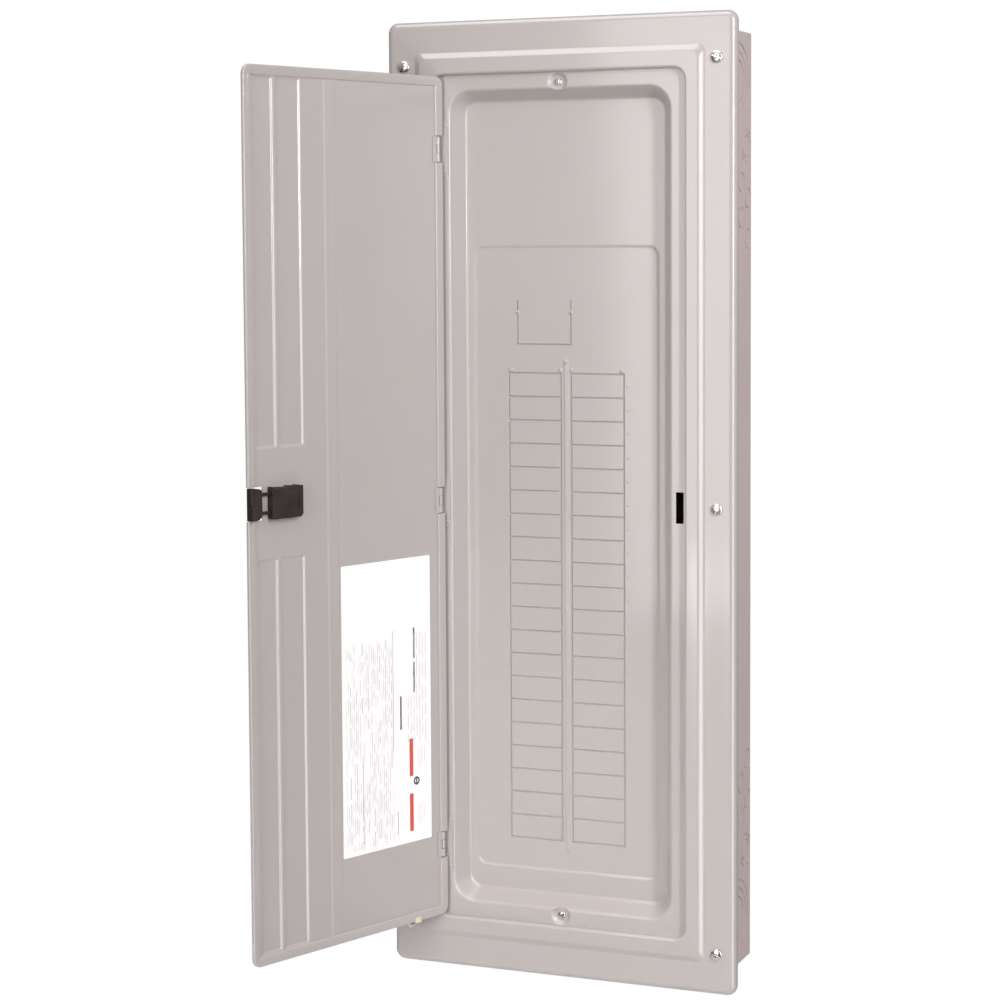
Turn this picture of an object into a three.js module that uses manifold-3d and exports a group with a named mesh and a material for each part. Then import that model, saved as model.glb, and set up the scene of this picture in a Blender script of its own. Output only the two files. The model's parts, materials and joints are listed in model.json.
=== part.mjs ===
// Flush-mounted subpanel enclosure: steel box, trim with hinged door, dead front and bus interior.
// Millimetres, +Z up. The front faces -Y; the origin is the centre of the box's outside back face.
// The door stands open at its rest pose, hung on three pin hinges at the left of the trim opening.
import * as THREE from 'three';
import { mergeVertices } from 'three/addons/utils/BufferGeometryUtils.js';
import Module from 'manifold-3d';

const wasm = await Module();
wasm.setup();

// Box: folded sheet steel tub with inward front lips.
const BOX_W = 362;
const BOX_H = 997;
const BOX_D = 98.4;
const BOX_T = 1.5;
const LIP = 16;
const WALL_Y = -BOX_D;
const GAP = 0.3;

// Trim: drawn sheet cover, 16 mm larger than the box on every side.
const TRIM_W = 394;
const TRIM_H = 1029;
const TRIM_R = 11;
const TRIM_T = 1.4;
const BORDER_RISE = 9;
const FIELD_RISE = 14;
const ROLL = [
  { inset: 1.2, rise: 5 },
  { inset: 4, rise: 7.9 },
];
const ROLL_WIDTH = 8;
const STEP_START = 33;
const STEP_WIDTH = 8;
const OPEN_W = 285;
const OPEN_H = 914;
const OPEN_R = 13;
const OPEN_BACK_RISE = 7;

// Dead front: flange behind the opening, drawn recess and forty scored breaker spaces.
const SHEET_T = 1.2;
const FLANGE_RISE = 6.5;
const FLANGE_MARGIN = 9;
const RECESS_W = 250;
const RECESS_H = 880;
const RECESS_R = 25;
const RECESS_DRAFT = 11;
const FLOOR_DEPTH = 14;
const PANEL_W = 210.6;
const PANEL_TOP = 274;
const PANEL_BOTTOM = -404;
const PANEL_R = 12;
const PANEL_DEPTH = 0.8;
const PANEL_SLOPE = 2;
const RECESS_LIP = { inset: 2, depth: 3 };
const ROWS = 20;
const PITCH = 25.4;
const FIRST_ROW_TOP = 137.5;
const SPACE_INNER = 6;
const SPACE_OUTER = 65.7;
const SPACE_WEB = 2.4;
const EMBOSS = 0.5;
const BEAD_HALF_W = 1.5;
const BEAD_PAST_TOP = 13;
const BEAD_PAST_BOTTOM = 12;
const MAIN_SPACE = { left: -55.7, right: 5.5, bottom: 171, top: 220 };
const SLOT_LEFT = 130.9;
const SLOT_RIGHT = 139.5;
const SLOT_HALF_H = 16.5;
const FRONT_SCREW_Z = 446.5;
const DIMPLE_R = 9;
const DIMPLE_DEPTH = 3.5;
const DIMPLE_STEPS = 16;

// Door: shallow pan with a returned hem, seen from its inner side at rest.
const DOOR_REST = 110.5;
const DOOR_W = 281.4;
const DOOR_H = 911;
const DOOR_R = 9;
const DOOR_ROUND = 0.6;
const HEM_WIDTH = 8;
const HEM_DEPTH = 3.8;
const SKIN_FRONT = -0.4;
const SKIN_INNER = SKIN_FRONT + SHEET_T;
const FITTING_Y = SKIN_INNER + GAP;
const HINGE_X = -135.4;
const HINGE_Y = WALL_Y - FIELD_RISE;
const DOOR_EDGE = -5;
const DOOR_FREE = DOOR_EDGE + DOOR_W;
const RIBS = [
  [DOOR_FREE - 41, DOOR_FREE - 13],
  [DOOR_FREE - 78, DOOR_FREE - 44],
];
const RIB_UPPER = [72, 445];
const RIB_LOWER = [-445, -40];
const RIB_HEIGHT = -1.2;
const BAND = [DOOR_FREE - 126, DOOR_FREE - 109];
const BAND_HEIGHT = 0.8;
const EMBOSS_SLOPE = 2.2;
const EMBOSS_R = 4;
const EMBOSS_OVERLAP = 0.3;
const LABEL = { left: DOOR_FREE - 258, right: DOOR_FREE - 127, bottom: -367, top: -58, thickness: 0.3 };
const BUMPER = { left: 38, right: 46, hang: 0.9, height: 5.9, thickness: 3.4 };

// Hinges: one trim knuckle between two door knuckles on a plain pin.
const HINGE_ROWS = { upper: 378, middle: 0, lower: -378 };
const BARREL_R = 2.6;
const PIN_R = 1.2;
const KNUCKLE_HALF = 5;
const DOOR_KNUCKLE = [5.4, 13.4];
const DOOR_LEAF = { left: 3.6, right: 9, half: 14, thickness: 1 };
const KNUCKLE_NOTCH = { right: 3.4, half: 14.5 };
const TRIM_LEAF = { left: -6.8, right: 9, side: 2.9, front: 6.3, thickness: 0.9, half: 30 };
const TRIM_ARM = { front: 0.2, back: 3.2 };
const RIVET = { x: 7, z: 25, radius: 1.6, height: 0.9 };

// Latch: sprung slide at the free edge that hooks behind the dead front flange.
// Widths along the door are distances from its free edge.
const LATCH_Z = 17;
const LATCH_HALF_H = 16.4;
const LATCH_TRAVEL = 4;
const NOTCH = { width: 21, half: 17 };
const HANDLE = { near: 1, far: 16, back: 6.6 };
const THUMB = { near: 4, far: 13, back: 3.4, margin: 3 };
const HOOK = { near: -1.2, far: 3.5, bottom: -15.5, top: -1.5, clearance: 0.4, thickness: 1.8 };
const HOOK_LEG = { near: 2.7, far: 4.7, front: 6 };
const PRONG = { near: 15, far: 34, front: 1.6, back: 4.6, z: 9.5, half: 1.6 };
const HOUSING = { near: 27.5, far: 69, back: 9.6 };
const POCKET = { front: 1.25, back: 5, half: 2 };
const WINDOW = { near: 41.5, far: 63, front: 7.6, half: 6 };

// Fasteners.
const TRIM_SCREW_X = 176.5;
const TRIM_SCREW_ZS = { top: 466.5, middle: 0, bottom: -470.5 };
const SHANK_R = 2.1;
const HOLE_R = 2.5;
const TRIM_SCREW = { headR: 6.8, headH: 3.2, length: 17 };
const FRONT_SCREW = { headR: 4.3, headH: 2.6, length: 12 };
const PAN_SCREW = { headR: 4.4, headH: 2.6, length: 12 };
const BUS_SCREW = { headR: 4, headH: 2.4, length: 12 };
const HEAD_TOP_SHARE = 0.6;

// Interior: back pan, plastic supports, two bus bars, lugs, neutral and ground bars.
const PAN_W = 190;
const PAN_TOP = 330;
const PAN_BOTTOM = -402;
const PAN_Y = -13.5;
const SUPPORT_ZS = { upper: 166, middle: -114, lower: -391 };
const BUS_X = 22;
const BUS_W = 16;
const BUS_Y = -39.6;
const BUS_T = 3;
const SUPPORT_FOOT = { halfW: 55, halfH: 14, thickness: 6 };
const SUPPORT_BODY = { halfW: 42, halfH: 10, overlap: 4 };
const BUS_TOP = 205;
const BUS_PAST_SUPPORT = 12;
const BUS_ARM = { from: 20, to: -9, halfH: 5 };
const STAB = { halfW: 8, reach: 19, root: 1, halfT: 1.2 };
const LUG = { halfW: 12, depth: 27, bottom: 172, top: 204 };
const LUG_BORE = { radius: 7.5, depth: 11, screwR: 5.3, screwDepth: 12 };
const SET_SCREW = { radius: 5, length: 12, socketR: 2.6, socketDepth: 5, projects: 3 };
const NEUTRAL_X = 80;
const NEUTRAL_BACK = -24.4;
const NEUTRAL_MID_Z = -135;
const NEUTRAL_BAR = { width: 12, depth: 11, length: 390, screws: 20 };
const GROUND_BAR = { width: 11, depth: 10, length: 130, screws: 9 };
const GROUND_PLACE = [-145, -BOX_T - GAP, -360];
const TERMINAL_SCREW = { radiusShare: 0.36, height: 2.4, root: 1 };
const INSULATOR_ZS = { upper: 20, lower: -290 };
const INSULATOR = { halfW: 7, halfH: 9 };
const STRAP = { past: 5, thickness: 2, bottom: -20, top: -6 };
const NEUTRAL_LUG = { halfW: 10, depth: 24, halfH: 14, boreR: 6.5, boreDepth: 10, gap: 2 };

// Posts that carry the dead front's screws.
const POST = { halfW: 15, webZ: 452, footZ: 430, tabZ: 442.6 };

const CORNER_STEPS = 4;
const ROUND_STEPS = 10;
const HEX_STEPS = 6;
const TERMINAL_STEPS = 8;
const MIN_CORNER_R = 0.2;
const MERGE_DISTANCE = 1e-4;

const PAINT = { color: 0xc4bcb8, roughness: 0.5, metalness: 0.15 };
const ZINC = { color: 0xb9bcc0, roughness: 0.35, metalness: 0.9 };
const GALVANISED = { color: 0xa9adb0, roughness: 0.45, metalness: 0.8 };
const ALUMINIUM = { color: 0xc7cacd, roughness: 0.35, metalness: 0.9 };
const BLACK_PLASTIC = { color: 0x2c2523, roughness: 0.45, metalness: 0 };
const DARK_PLASTIC = { color: 0x3a3d40, roughness: 0.6, metalness: 0 };
const CREAM_PLASTIC = { color: 0xe6dfc8, roughness: 0.5, metalness: 0 };
const PAPER = { color: 0xf4f4f2, roughness: 0.7, metalness: 0 };

// Closed mesh to solid, and back.
function toSolid(geometry) {
  const bare = geometry.clone();
  bare.deleteAttribute('normal');
  bare.deleteAttribute('uv');
  const merged = mergeVertices(bare, MERGE_DISTANCE);
  const vertProperties = new Float32Array(merged.attributes.position.array);
  const triVerts = new Uint32Array(merged.index.array);
  return new wasm.Manifold(new wasm.Mesh({ numProp: 3, vertProperties, triVerts }));
}

function toGeometry(solid) {
  const mesh = solid.getMesh();
  const geometry = new THREE.BufferGeometry();
  geometry.setAttribute('position', new THREE.BufferAttribute(mesh.vertProperties, 3));
  geometry.setIndex(new THREE.BufferAttribute(mesh.triVerts, 1));
  geometry.computeVertexNormals();
  return geometry;
}

const union = (solids) => solids.reduce((whole, next) => whole.add(next));
const cut = (solid, cutters) => cutters.reduce((rest, next) => rest.subtract(next), solid);

function slab(x0, x1, y0, y1, z0, z1) {
  const box = new THREE.BoxGeometry(x1 - x0, y1 - y0, z1 - z0);
  box.translate((x0 + x1) / 2, (y0 + y1) / 2, (z0 + z1) / 2);
  return toSolid(box);
}

// A cylinder along Y from y0 to y1.
function rodY(x, z, radius, y0, y1, steps = ROUND_STEPS) {
  const rod = new THREE.CylinderGeometry(radius, radius, y1 - y0, steps);
  rod.translate(x, (y0 + y1) / 2, z);
  return toSolid(rod);
}

// A cylinder along X from x0 to x1.
function rodX(y, z, radius, x0, x1, steps = ROUND_STEPS) {
  const rod = new THREE.CylinderGeometry(radius, radius, x1 - x0, steps);
  rod.rotateZ(Math.PI / 2);
  rod.translate((x0 + x1) / 2, y, z);
  return toSolid(rod);
}

// A cylinder along Z from z0 to z1.
function rodZ(x, y, radius, z0, z1, steps = ROUND_STEPS) {
  const rod = new THREE.CylinderGeometry(radius, radius, z1 - z0, steps);
  rod.rotateX(Math.PI / 2);
  rod.translate(x, y, (z0 + z1) / 2);
  return toSolid(rod);
}

// A rounded rectangle in the XZ plane at depth y, as a loop of points.
function ring(halfW, halfH, radius, y, x = 0, z = 0) {
  const r = Math.max(Math.min(radius, halfW, halfH), MIN_CORNER_R);
  const points = [];
  for (let corner = 0; corner < 4; corner += 1) {
    const sx = corner === 0 || corner === 3 ? 1 : -1;
    const sz = corner < 2 ? 1 : -1;
    for (let step = 0; step <= CORNER_STEPS; step += 1) {
      const angle = (corner + step / CORNER_STEPS) * Math.PI / 2;
      const px = sx * (halfW - r) + r * Math.cos(angle);
      const pz = sz * (halfH - r) + r * Math.sin(angle);
      points.push([x + px, y, z + pz]);
    }
  }
  return points;
}

// A ring around the rectangle x0..x1, z0..z1.
function ringAround(x0, x1, z0, z1, radius, y) {
  return ring((x1 - x0) / 2, (z1 - z0) / 2, radius, y, (x0 + x1) / 2, (z0 + z1) / 2);
}

function centreOf(points) {
  return [0, 1, 2].map((axis) => points.reduce((sum, p) => sum + p[axis], 0) / points.length);
}

// Joins rings in order. A closed loft runs back to its first ring, an open one is capped by two fans.
function loft(rings, closed) {
  const count = rings[0].length;
  const positions = rings.flat();
  const index = [];
  const spans = closed ? rings.length : rings.length - 1;
  for (let i = 0; i < spans; i += 1) {
    const next = (i + 1) % rings.length;
    for (let j = 0; j < count; j += 1) {
      const k = (j + 1) % count;
      const a = i * count + j;
      const b = i * count + k;
      const c = next * count + k;
      const d = next * count + j;
      index.push(a, b, c, a, c, d);
    }
  }
  if (!closed) {
    const first = positions.push(centreOf(rings[0])) - 1;
    const last = positions.push(centreOf(rings[rings.length - 1])) - 1;
    const lastRing = (rings.length - 1) * count;
    for (let j = 0; j < count; j += 1) {
      const k = (j + 1) % count;
      index.push(first, k, j);
      index.push(last, lastRing + j, lastRing + k);
    }
  }
  const geometry = new THREE.BufferGeometry();
  geometry.setAttribute('position', new THREE.Float32BufferAttribute(positions.flat(), 3));
  geometry.setIndex(signedVolume(positions, index) < 0 ? index.slice().reverse() : index);
  return toSolid(geometry);
}

// Six times the volume that a mesh encloses, negative when its faces point in.
function signedVolume(positions, index) {
  let volume = 0;
  for (let i = 0; i < index.length; i += 3) {
    const [a, b, c] = [positions[index[i]], positions[index[i + 1]], positions[index[i + 2]]];
    volume += a[0] * (b[1] * c[2] - b[2] * c[1]);
    volume += a[1] * (b[2] * c[0] - b[0] * c[2]);
    volume += a[2] * (b[0] * c[1] - b[1] * c[0]);
  }
  return volume;
}

// A low plateau with sloped sides, from depth y0 (full size) to y1 (smaller by slope all round).
function plateau(rect, y0, y1, slope, radius) {
  const [x0, x1, z0, z1] = rect;
  const base = ringAround(x0, x1, z0, z1, radius, y0);
  const top = ringAround(x0 + slope, x1 - slope, z0 + slope, z1 - slope, radius, y1);
  return loft([base, top], false);
}

const group = new THREE.Group();

function addSolid(parent, name, solid, look) {
  const mesh = new THREE.Mesh(toGeometry(solid), new THREE.MeshStandardMaterial(look));
  mesh.name = name;
  parent.add(mesh);
  return mesh;
}

// Knockouts of one side wall as [z from the box end, depth from the front, radius]; both ends match.
const SIDE_KNOCKOUTS = [
  [53, 49, 40],
  [120, 79, 17],
  [159, 63, 10.5],
  [175, 86, 10.5],
  [196, 63, 10.5],
  [218, 86, 10.5],
];
const END_KNOCKOUTS = [
  [0, 49, 32],
  [78, 49, 22],
  [-78, 49, 22],
  [135, 49, 14],
  [-135, 49, 14],
];
const SCORE = 0.4;

function sideKnockouts() {
  const cutters = [];
  for (const side of [-1, 1]) {
    const face = side * BOX_W / 2;
    for (const end of [-1, 1]) {
      for (const [offset, depth, radius] of SIDE_KNOCKOUTS) {
        const z = end * (BOX_H / 2 - offset);
        cutters.push(rodX(WALL_Y + depth, z, radius, face - SCORE, face + SCORE));
      }
    }
  }
  return cutters;
}

function endKnockouts() {
  const cutters = [];
  for (const end of [-1, 1]) {
    const face = end * BOX_H / 2;
    for (const [x, depth, radius] of END_KNOCKOUTS) {
      cutters.push(rodZ(x, WALL_Y + depth, radius, face - SCORE, face + SCORE));
    }
  }
  return cutters;
}

const PAN_SCREWS = [
  ['top_left', -80, 315],
  ['top_right', 80, 315],
  ['bottom_left', -80, -387],
  ['bottom_right', 80, -387],
];
const NAIL_HOLES = [[-130, 430], [130, 430], [-130, -430], [130, -430]];
const NAIL_HOLE_R = 3.5;

function enclosureBox() {
  const halfW = BOX_W / 2;
  const halfH = BOX_H / 2;
  const outer = slab(-halfW, halfW, WALL_Y, 0, -halfH, halfH);
  const inner = slab(
    -halfW + BOX_T, halfW - BOX_T, WALL_Y + BOX_T, -BOX_T, -halfH + BOX_T, halfH - BOX_T,
  );
  const mouth = slab(-halfW + LIP, halfW - LIP, WALL_Y - 1, WALL_Y + 2 * BOX_T, -halfH + LIP, halfH - LIP);
  const lipHoles = trimScrewPlaces().map(([, x, z]) => rodY(x, z, HOLE_R, WALL_Y - 1, WALL_Y + 2 * BOX_T));
  const backHoles = NAIL_HOLES.map(([x, z]) => rodY(x, z, NAIL_HOLE_R, -2 * BOX_T, 1));
  const panHoles = PAN_SCREWS.map(([, x, z]) => rodY(x, z, HOLE_R, -2 * BOX_T, 1));
  return cut(outer, [
    inner, mouth, ...lipHoles, ...backHoles, ...panHoles, ...sideKnockouts(), ...endKnockouts(),
  ]);
}

function trimScrewPlaces() {
  const places = [];
  for (const [row, z] of Object.entries(TRIM_SCREW_ZS)) {
    places.push([`${row}_left`, -TRIM_SCREW_X, z]);
    places.push([`${row}_right`, TRIM_SCREW_X, z]);
  }
  return places;
}

// The trim's sheet section, walked around the front face and back along the rear face.
function trimCover() {
  const outer = (inset, rise) => ring(
    TRIM_W / 2 - inset, TRIM_H / 2 - inset, TRIM_R - inset / 2, WALL_Y - rise,
  );
  const opening = (margin, rise) => ring(
    OPEN_W / 2 + margin, OPEN_H / 2 + margin, OPEN_R + margin, WALL_Y - rise,
  );
  const stepEnd = STEP_START + STEP_WIDTH;
  const border = BORDER_RISE;
  const field = FIELD_RISE;
  const back = OPEN_BACK_RISE;
  const t = TRIM_T;
  const sheet = loft([
    outer(0, 0),
    ...ROLL.map(({ inset, rise }) => outer(inset, rise)),
    outer(ROLL_WIDTH, border),
    outer(STEP_START, border),
    outer(stepEnd, field),
    opening(t, field),
    opening(0, field - t),
    opening(0, back),
    opening(t, back),
    opening(t, field - 3 * t / 2),
    opening(2 * t, field - t),
    outer(stepEnd + t / 2, field - t),
    outer(STEP_START + t / 2, border - t),
    outer(ROLL_WIDTH + t, border - t),
    ...ROLL.toReversed().map(({ inset, rise }) => outer(inset + t, rise - t)),
    outer(t, 0),
  ], true);
  const holes = trimScrewPlaces().map(([, x, z]) => rodY(x, z, HOLE_R, WALL_Y - border - 1, WALL_Y));
  return cut(sheet, holes);
}

function breakerSpaces(panelFront) {
  const bosses = [];
  for (let row = 0; row < ROWS; row += 1) {
    const top = FIRST_ROW_TOP - row * PITCH - SPACE_WEB / 2;
    const bottom = top - PITCH + SPACE_WEB;
    for (const side of [-1, 1]) {
      const edges = [side * SPACE_INNER, side * SPACE_OUTER].sort((a, b) => a - b);
      bosses.push(slab(edges[0], edges[1], panelFront - EMBOSS, panelFront + EMBOSS, bottom, top));
    }
  }
  return bosses;
}

function deadFront() {
  const flangeY = WALL_Y - FLANGE_RISE;
  const floorY = WALL_Y + FLOOR_DEPTH;
  const panelY = floorY + PANEL_DEPTH;
  const t = SHEET_T;
  const { inset: lip, depth: lipDepth } = RECESS_LIP;
  const halfW = OPEN_W / 2 + FLANGE_MARGIN;
  const halfH = OPEN_H / 2 + FLANGE_MARGIN;
  const recess = (inset, y) => ring(RECESS_W / 2 - inset, RECESS_H / 2 - inset, RECESS_R - inset, y);
  const panel = (inset, y) => ringAround(
    -PANEL_W / 2 + inset, PANEL_W / 2 - inset, PANEL_BOTTOM + inset, PANEL_TOP - inset, PANEL_R, y,
  );
  const sheet = loft([
    panel(PANEL_SLOPE, panelY),
    panel(0, floorY),
    recess(RECESS_DRAFT, floorY),
    recess(RECESS_DRAFT - lip, floorY - lipDepth),
    recess(lip, flangeY + lipDepth),
    recess(0, flangeY),
    ring(halfW, halfH, OPEN_R, flangeY),
    ring(halfW, halfH, OPEN_R, flangeY + t),
    recess(-t, flangeY + t),
    recess(lip - t, flangeY + lipDepth + t),
    recess(RECESS_DRAFT - lip - t, floorY - lipDepth + t),
    recess(RECESS_DRAFT - t, floorY + t),
    panel(0, floorY + t),
    panel(PANEL_SLOPE, panelY + t),
  ], false);
  return cut(union([sheet, ...frontBosses(panelY), ...dimples(flangeY)]), frontCutters(flangeY));
}

// Raised faces of the breaker spaces, the bead between the columns and the main breaker's space.
function frontBosses(panelY) {
  const lastRow = FIRST_ROW_TOP - ROWS * PITCH;
  const bead = slab(
    -BEAD_HALF_W, BEAD_HALF_W, panelY - 2 * EMBOSS, panelY + EMBOSS,
    lastRow - BEAD_PAST_BOTTOM, FIRST_ROW_TOP + BEAD_PAST_TOP,
  );
  const { left, right, bottom, top } = MAIN_SPACE;
  const mainSpace = slab(left, right, panelY - EMBOSS, panelY + EMBOSS, bottom, top);
  return [...breakerSpaces(panelY), bead, mainSpace];
}

function dimples(flangeY) {
  const back = flangeY + DIMPLE_DEPTH + SHEET_T;
  return [-1, 1].map((end) => rodY(
    0, end * FRONT_SCREW_Z, DIMPLE_R + SHEET_T, flangeY + SHEET_T / 2, back, DIMPLE_STEPS,
  ));
}

function frontCutters(flangeY) {
  const floor = flangeY + DIMPLE_DEPTH;
  const cutters = [
    slab(SLOT_LEFT, SLOT_RIGHT, flangeY - 1, flangeY + 2 * SHEET_T, -SLOT_HALF_H, SLOT_HALF_H),
  ];
  for (const end of [-1, 1]) {
    const z = end * FRONT_SCREW_Z;
    cutters.push(rodY(0, z, DIMPLE_R, flangeY - 1, floor, DIMPLE_STEPS));
    cutters.push(rodY(0, z, HOLE_R, flangeY, floor + 2 * SHEET_T));
  }
  return cutters;
}

// A pan-head screw whose shank points along +Y and whose head rests at y = 0.
function addScrew(parent, name, place, { headR, headH, length }) {
  const profile = [
    new THREE.Vector2(0, -headH),
    new THREE.Vector2(headR * HEAD_TOP_SHARE, -headH),
    new THREE.Vector2(headR, -headH / 2),
    new THREE.Vector2(headR, 0),
    new THREE.Vector2(SHANK_R, 0),
    new THREE.Vector2(SHANK_R, length - SHANK_R),
    new THREE.Vector2(SHANK_R / 2, length),
    new THREE.Vector2(0, length),
  ];
  const solid = toSolid(new THREE.LatheGeometry(profile, ROUND_STEPS));
  addSolid(parent, name, solid, ZINC).position.set(...place);
}

// Door and its fittings are drawn closed, from the hinge axis: +X to the free edge, +Y into the box.
// Presses a plateau into the door's skin: inwards for a positive height, outwards for a negative one.
function doorEmboss(solid, rect, height) {
  const [near, far] = height > 0 ? [SKIN_INNER, SKIN_FRONT] : [SKIN_FRONT, SKIN_INNER];
  const overlap = Math.sign(height) * EMBOSS_OVERLAP;
  const raised = plateau(rect, near - overlap, near + height, EMBOSS_SLOPE, EMBOSS_R);
  const [x0, x1, z0, z1] = rect;
  const under = [x0 + SHEET_T, x1 - SHEET_T, z0 + SHEET_T, z1 - SHEET_T];
  const hollow = plateau(under, far - overlap, far + height, EMBOSS_SLOPE, EMBOSS_R);
  return solid.add(raised).subtract(hollow);
}

function door() {
  const x = DOOR_EDGE + DOOR_W / 2;
  const front = SKIN_FRONT;
  const back = SKIN_FRONT + HEM_DEPTH;
  const t = SHEET_T;
  const round = DOOR_ROUND;
  const at = (inset, y) => ring(DOOR_W / 2 - inset, DOOR_H / 2 - inset, DOOR_R - inset, y, x);
  let sheet = loft([
    at(round, front),
    at(0, front + round),
    at(0, back - round),
    at(round, back),
    at(HEM_WIDTH, back),
    at(HEM_WIDTH, back - t),
    at(t, back - t),
    at(t, front + t),
  ], false);
  for (const [x0, x1] of RIBS) {
    sheet = doorEmboss(sheet, [x0, x1, ...RIB_UPPER], RIB_HEIGHT);
    sheet = doorEmboss(sheet, [x0, x1, ...RIB_LOWER], RIB_HEIGHT);
  }
  sheet = doorEmboss(sheet, [...BAND, RIB_LOWER[0], RIB_UPPER[1]], BAND_HEIGHT);
  return cut(sheet, doorNotches(front - 1, back + 1));
}

// Notches for the hinge knuckles, the latch slide and the bumper.
function doorNotches(y0, y1) {
  const { right, half } = KNUCKLE_NOTCH;
  const notches = Object.values(HINGE_ROWS).map(
    (z) => slab(DOOR_EDGE - 1, right, y0, y1, z - half, z + half),
  );
  notches.push(slab(
    DOOR_FREE - NOTCH.width, DOOR_FREE + 1, y0, y1, LATCH_Z - NOTCH.half, LATCH_Z + NOTCH.half,
  ));
  const bottom = -DOOR_H / 2;
  const bumperTop = bottom - BUMPER.hang + BUMPER.height;
  notches.push(slab(
    BUMPER.left - GAP, BUMPER.right + GAP, SKIN_INNER, y1, bottom - 1, bumperTop + GAP,
  ));
  return notches;
}

const fromEdge = (e) => DOOR_FREE - e;

function latchSlide() {
  const h = LATCH_HALF_H;
  const handle = slab(fromEdge(HANDLE.far), fromEdge(HANDLE.near), SKIN_FRONT, HANDLE.back, -h, h);
  const grip = h - THUMB.margin;
  const thumb = slab(fromEdge(THUMB.far), fromEdge(THUMB.near), SKIN_FRONT - 1, THUMB.back, -grip, grip);
  const flangeBack = FIELD_RISE - FLANGE_RISE + SHEET_T;
  const hookY = flangeBack + HOOK.clearance;
  const hookEnd = hookY + HOOK.thickness;
  const leg = slab(
    fromEdge(HOOK_LEG.far), fromEdge(HOOK_LEG.near), HOOK_LEG.front, hookEnd, HOOK.bottom, HOOK.top,
  );
  const hook = slab(fromEdge(HOOK.far), fromEdge(HOOK.near), hookY, hookEnd, HOOK.bottom, HOOK.top);
  const prongs = [-1, 1].map((side) => slab(
    fromEdge(PRONG.far), fromEdge(PRONG.near), PRONG.front, PRONG.back,
    side * PRONG.z - PRONG.half, side * PRONG.z + PRONG.half,
  ));
  return union([handle.subtract(thumb), leg, hook, ...prongs]);
}

function latchHousing() {
  const { near, far, back } = HOUSING;
  const block = slab(fromEdge(far), fromEdge(near), FITTING_Y, back, -LATCH_HALF_H, LATCH_HALF_H);
  const pocketEnd = PRONG.far + LATCH_TRAVEL + 1;
  const pockets = [-1, 1].map((side) => slab(
    fromEdge(pocketEnd), fromEdge(near) + 1, POCKET.front, POCKET.back,
    side * PRONG.z - POCKET.half, side * PRONG.z + POCKET.half,
  ));
  const window = slab(
    fromEdge(WINDOW.far), fromEdge(WINDOW.near), WINDOW.front, back + 1, -WINDOW.half, WINDOW.half,
  );
  return cut(block, [...pockets, window]);
}

function doorLabel() {
  return slab(LABEL.left, LABEL.right, FITTING_Y, FITTING_Y + LABEL.thickness, LABEL.bottom, LABEL.top);
}

// A pad over the hem at the door's bottom edge.
function doorBumper() {
  const bottom = -DOOR_H / 2 - BUMPER.hang;
  return slab(
    BUMPER.left, BUMPER.right, FITTING_Y, FITTING_Y + BUMPER.thickness, bottom, bottom + BUMPER.height,
  );
}

// The trim knuckle, its arm, and an angled leaf that lies inside the opening with two rivet heads.
function hingeTrimLeaf() {
  const { left, right, side, front, thickness, half } = TRIM_LEAF;
  const back = front + thickness;
  const upright = slab(left, left + thickness, side, back, -half, half);
  const flat = slab(left, right, front, back, -half, half);
  const arm = slab(left, -PIN_R, TRIM_ARM.front, TRIM_ARM.back, -KNUCKLE_HALF, KNUCKLE_HALF);
  const barrel = rodZ(0, 0, BARREL_R, -KNUCKLE_HALF, KNUCKLE_HALF);
  const rivets = [-1, 1].map((end) => rodY(
    RIVET.x, end * RIVET.z, RIVET.radius, front - RIVET.height, front + thickness / 2,
  ));
  return union([upright, flat, arm, barrel, ...rivets]).subtract(
    rodZ(0, 0, PIN_R + GAP, -half, half),
  );
}

// The door leaf against the inner skin, with its two knuckles.
function hingeDoorLeaf() {
  const { left, right, half, thickness } = DOOR_LEAF;
  const back = FITTING_Y + thickness;
  const pieces = [slab(left, right, FITTING_Y, back, -half, half)];
  for (const side of [-1, 1]) {
    const [z0, z1] = DOOR_KNUCKLE.map((z) => side * z).sort((a, b) => a - b);
    pieces.push(slab(PIN_R, left + thickness, FITTING_Y, back, z0, z1));
    pieces.push(rodZ(0, 0, BARREL_R, z0, z1));
  }
  return union(pieces).subtract(rodZ(0, 0, PIN_R + GAP, -half, half));
}

function hingePin() {
  const reach = DOOR_KNUCKLE[1];
  return rodZ(0, 0, PIN_R, -reach, reach);
}

// Interior parts.
function interiorPan() {
  const halfW = PAN_W / 2;
  const face = slab(-halfW, halfW, PAN_Y, PAN_Y + BOX_T, PAN_BOTTOM, PAN_TOP);
  const legs = [-1, 1].map((side) => {
    const [x0, x1] = [side * halfW, side * (halfW - BOX_T)].sort((a, b) => a - b);
    return slab(x0, x1, PAN_Y, -BOX_T - GAP, PAN_BOTTOM, PAN_TOP);
  });
  const holes = PAN_SCREWS.map(([, x, z]) => rodY(x, z, HOLE_R, PAN_Y - 1, PAN_Y + 2 * BOX_T));
  return cut(union([face, ...legs]), holes);
}

function busSupport() {
  const front = BUS_Y + BUS_T + GAP;
  const { halfW: footW, halfH: footH, thickness } = SUPPORT_FOOT;
  const { halfW, halfH, overlap } = SUPPORT_BODY;
  const foot = slab(-footW, footW, PAN_Y - thickness, PAN_Y - GAP, -footH, footH);
  const body = slab(-halfW, halfW, front, PAN_Y - overlap, -halfH, halfH);
  const holes = [-1, 1].map((side) => rodY(side * BUS_X, 0, HOLE_R, front - 1, front + BUS_SCREW.length));
  return cut(union([foot, body]), holes);
}

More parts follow.
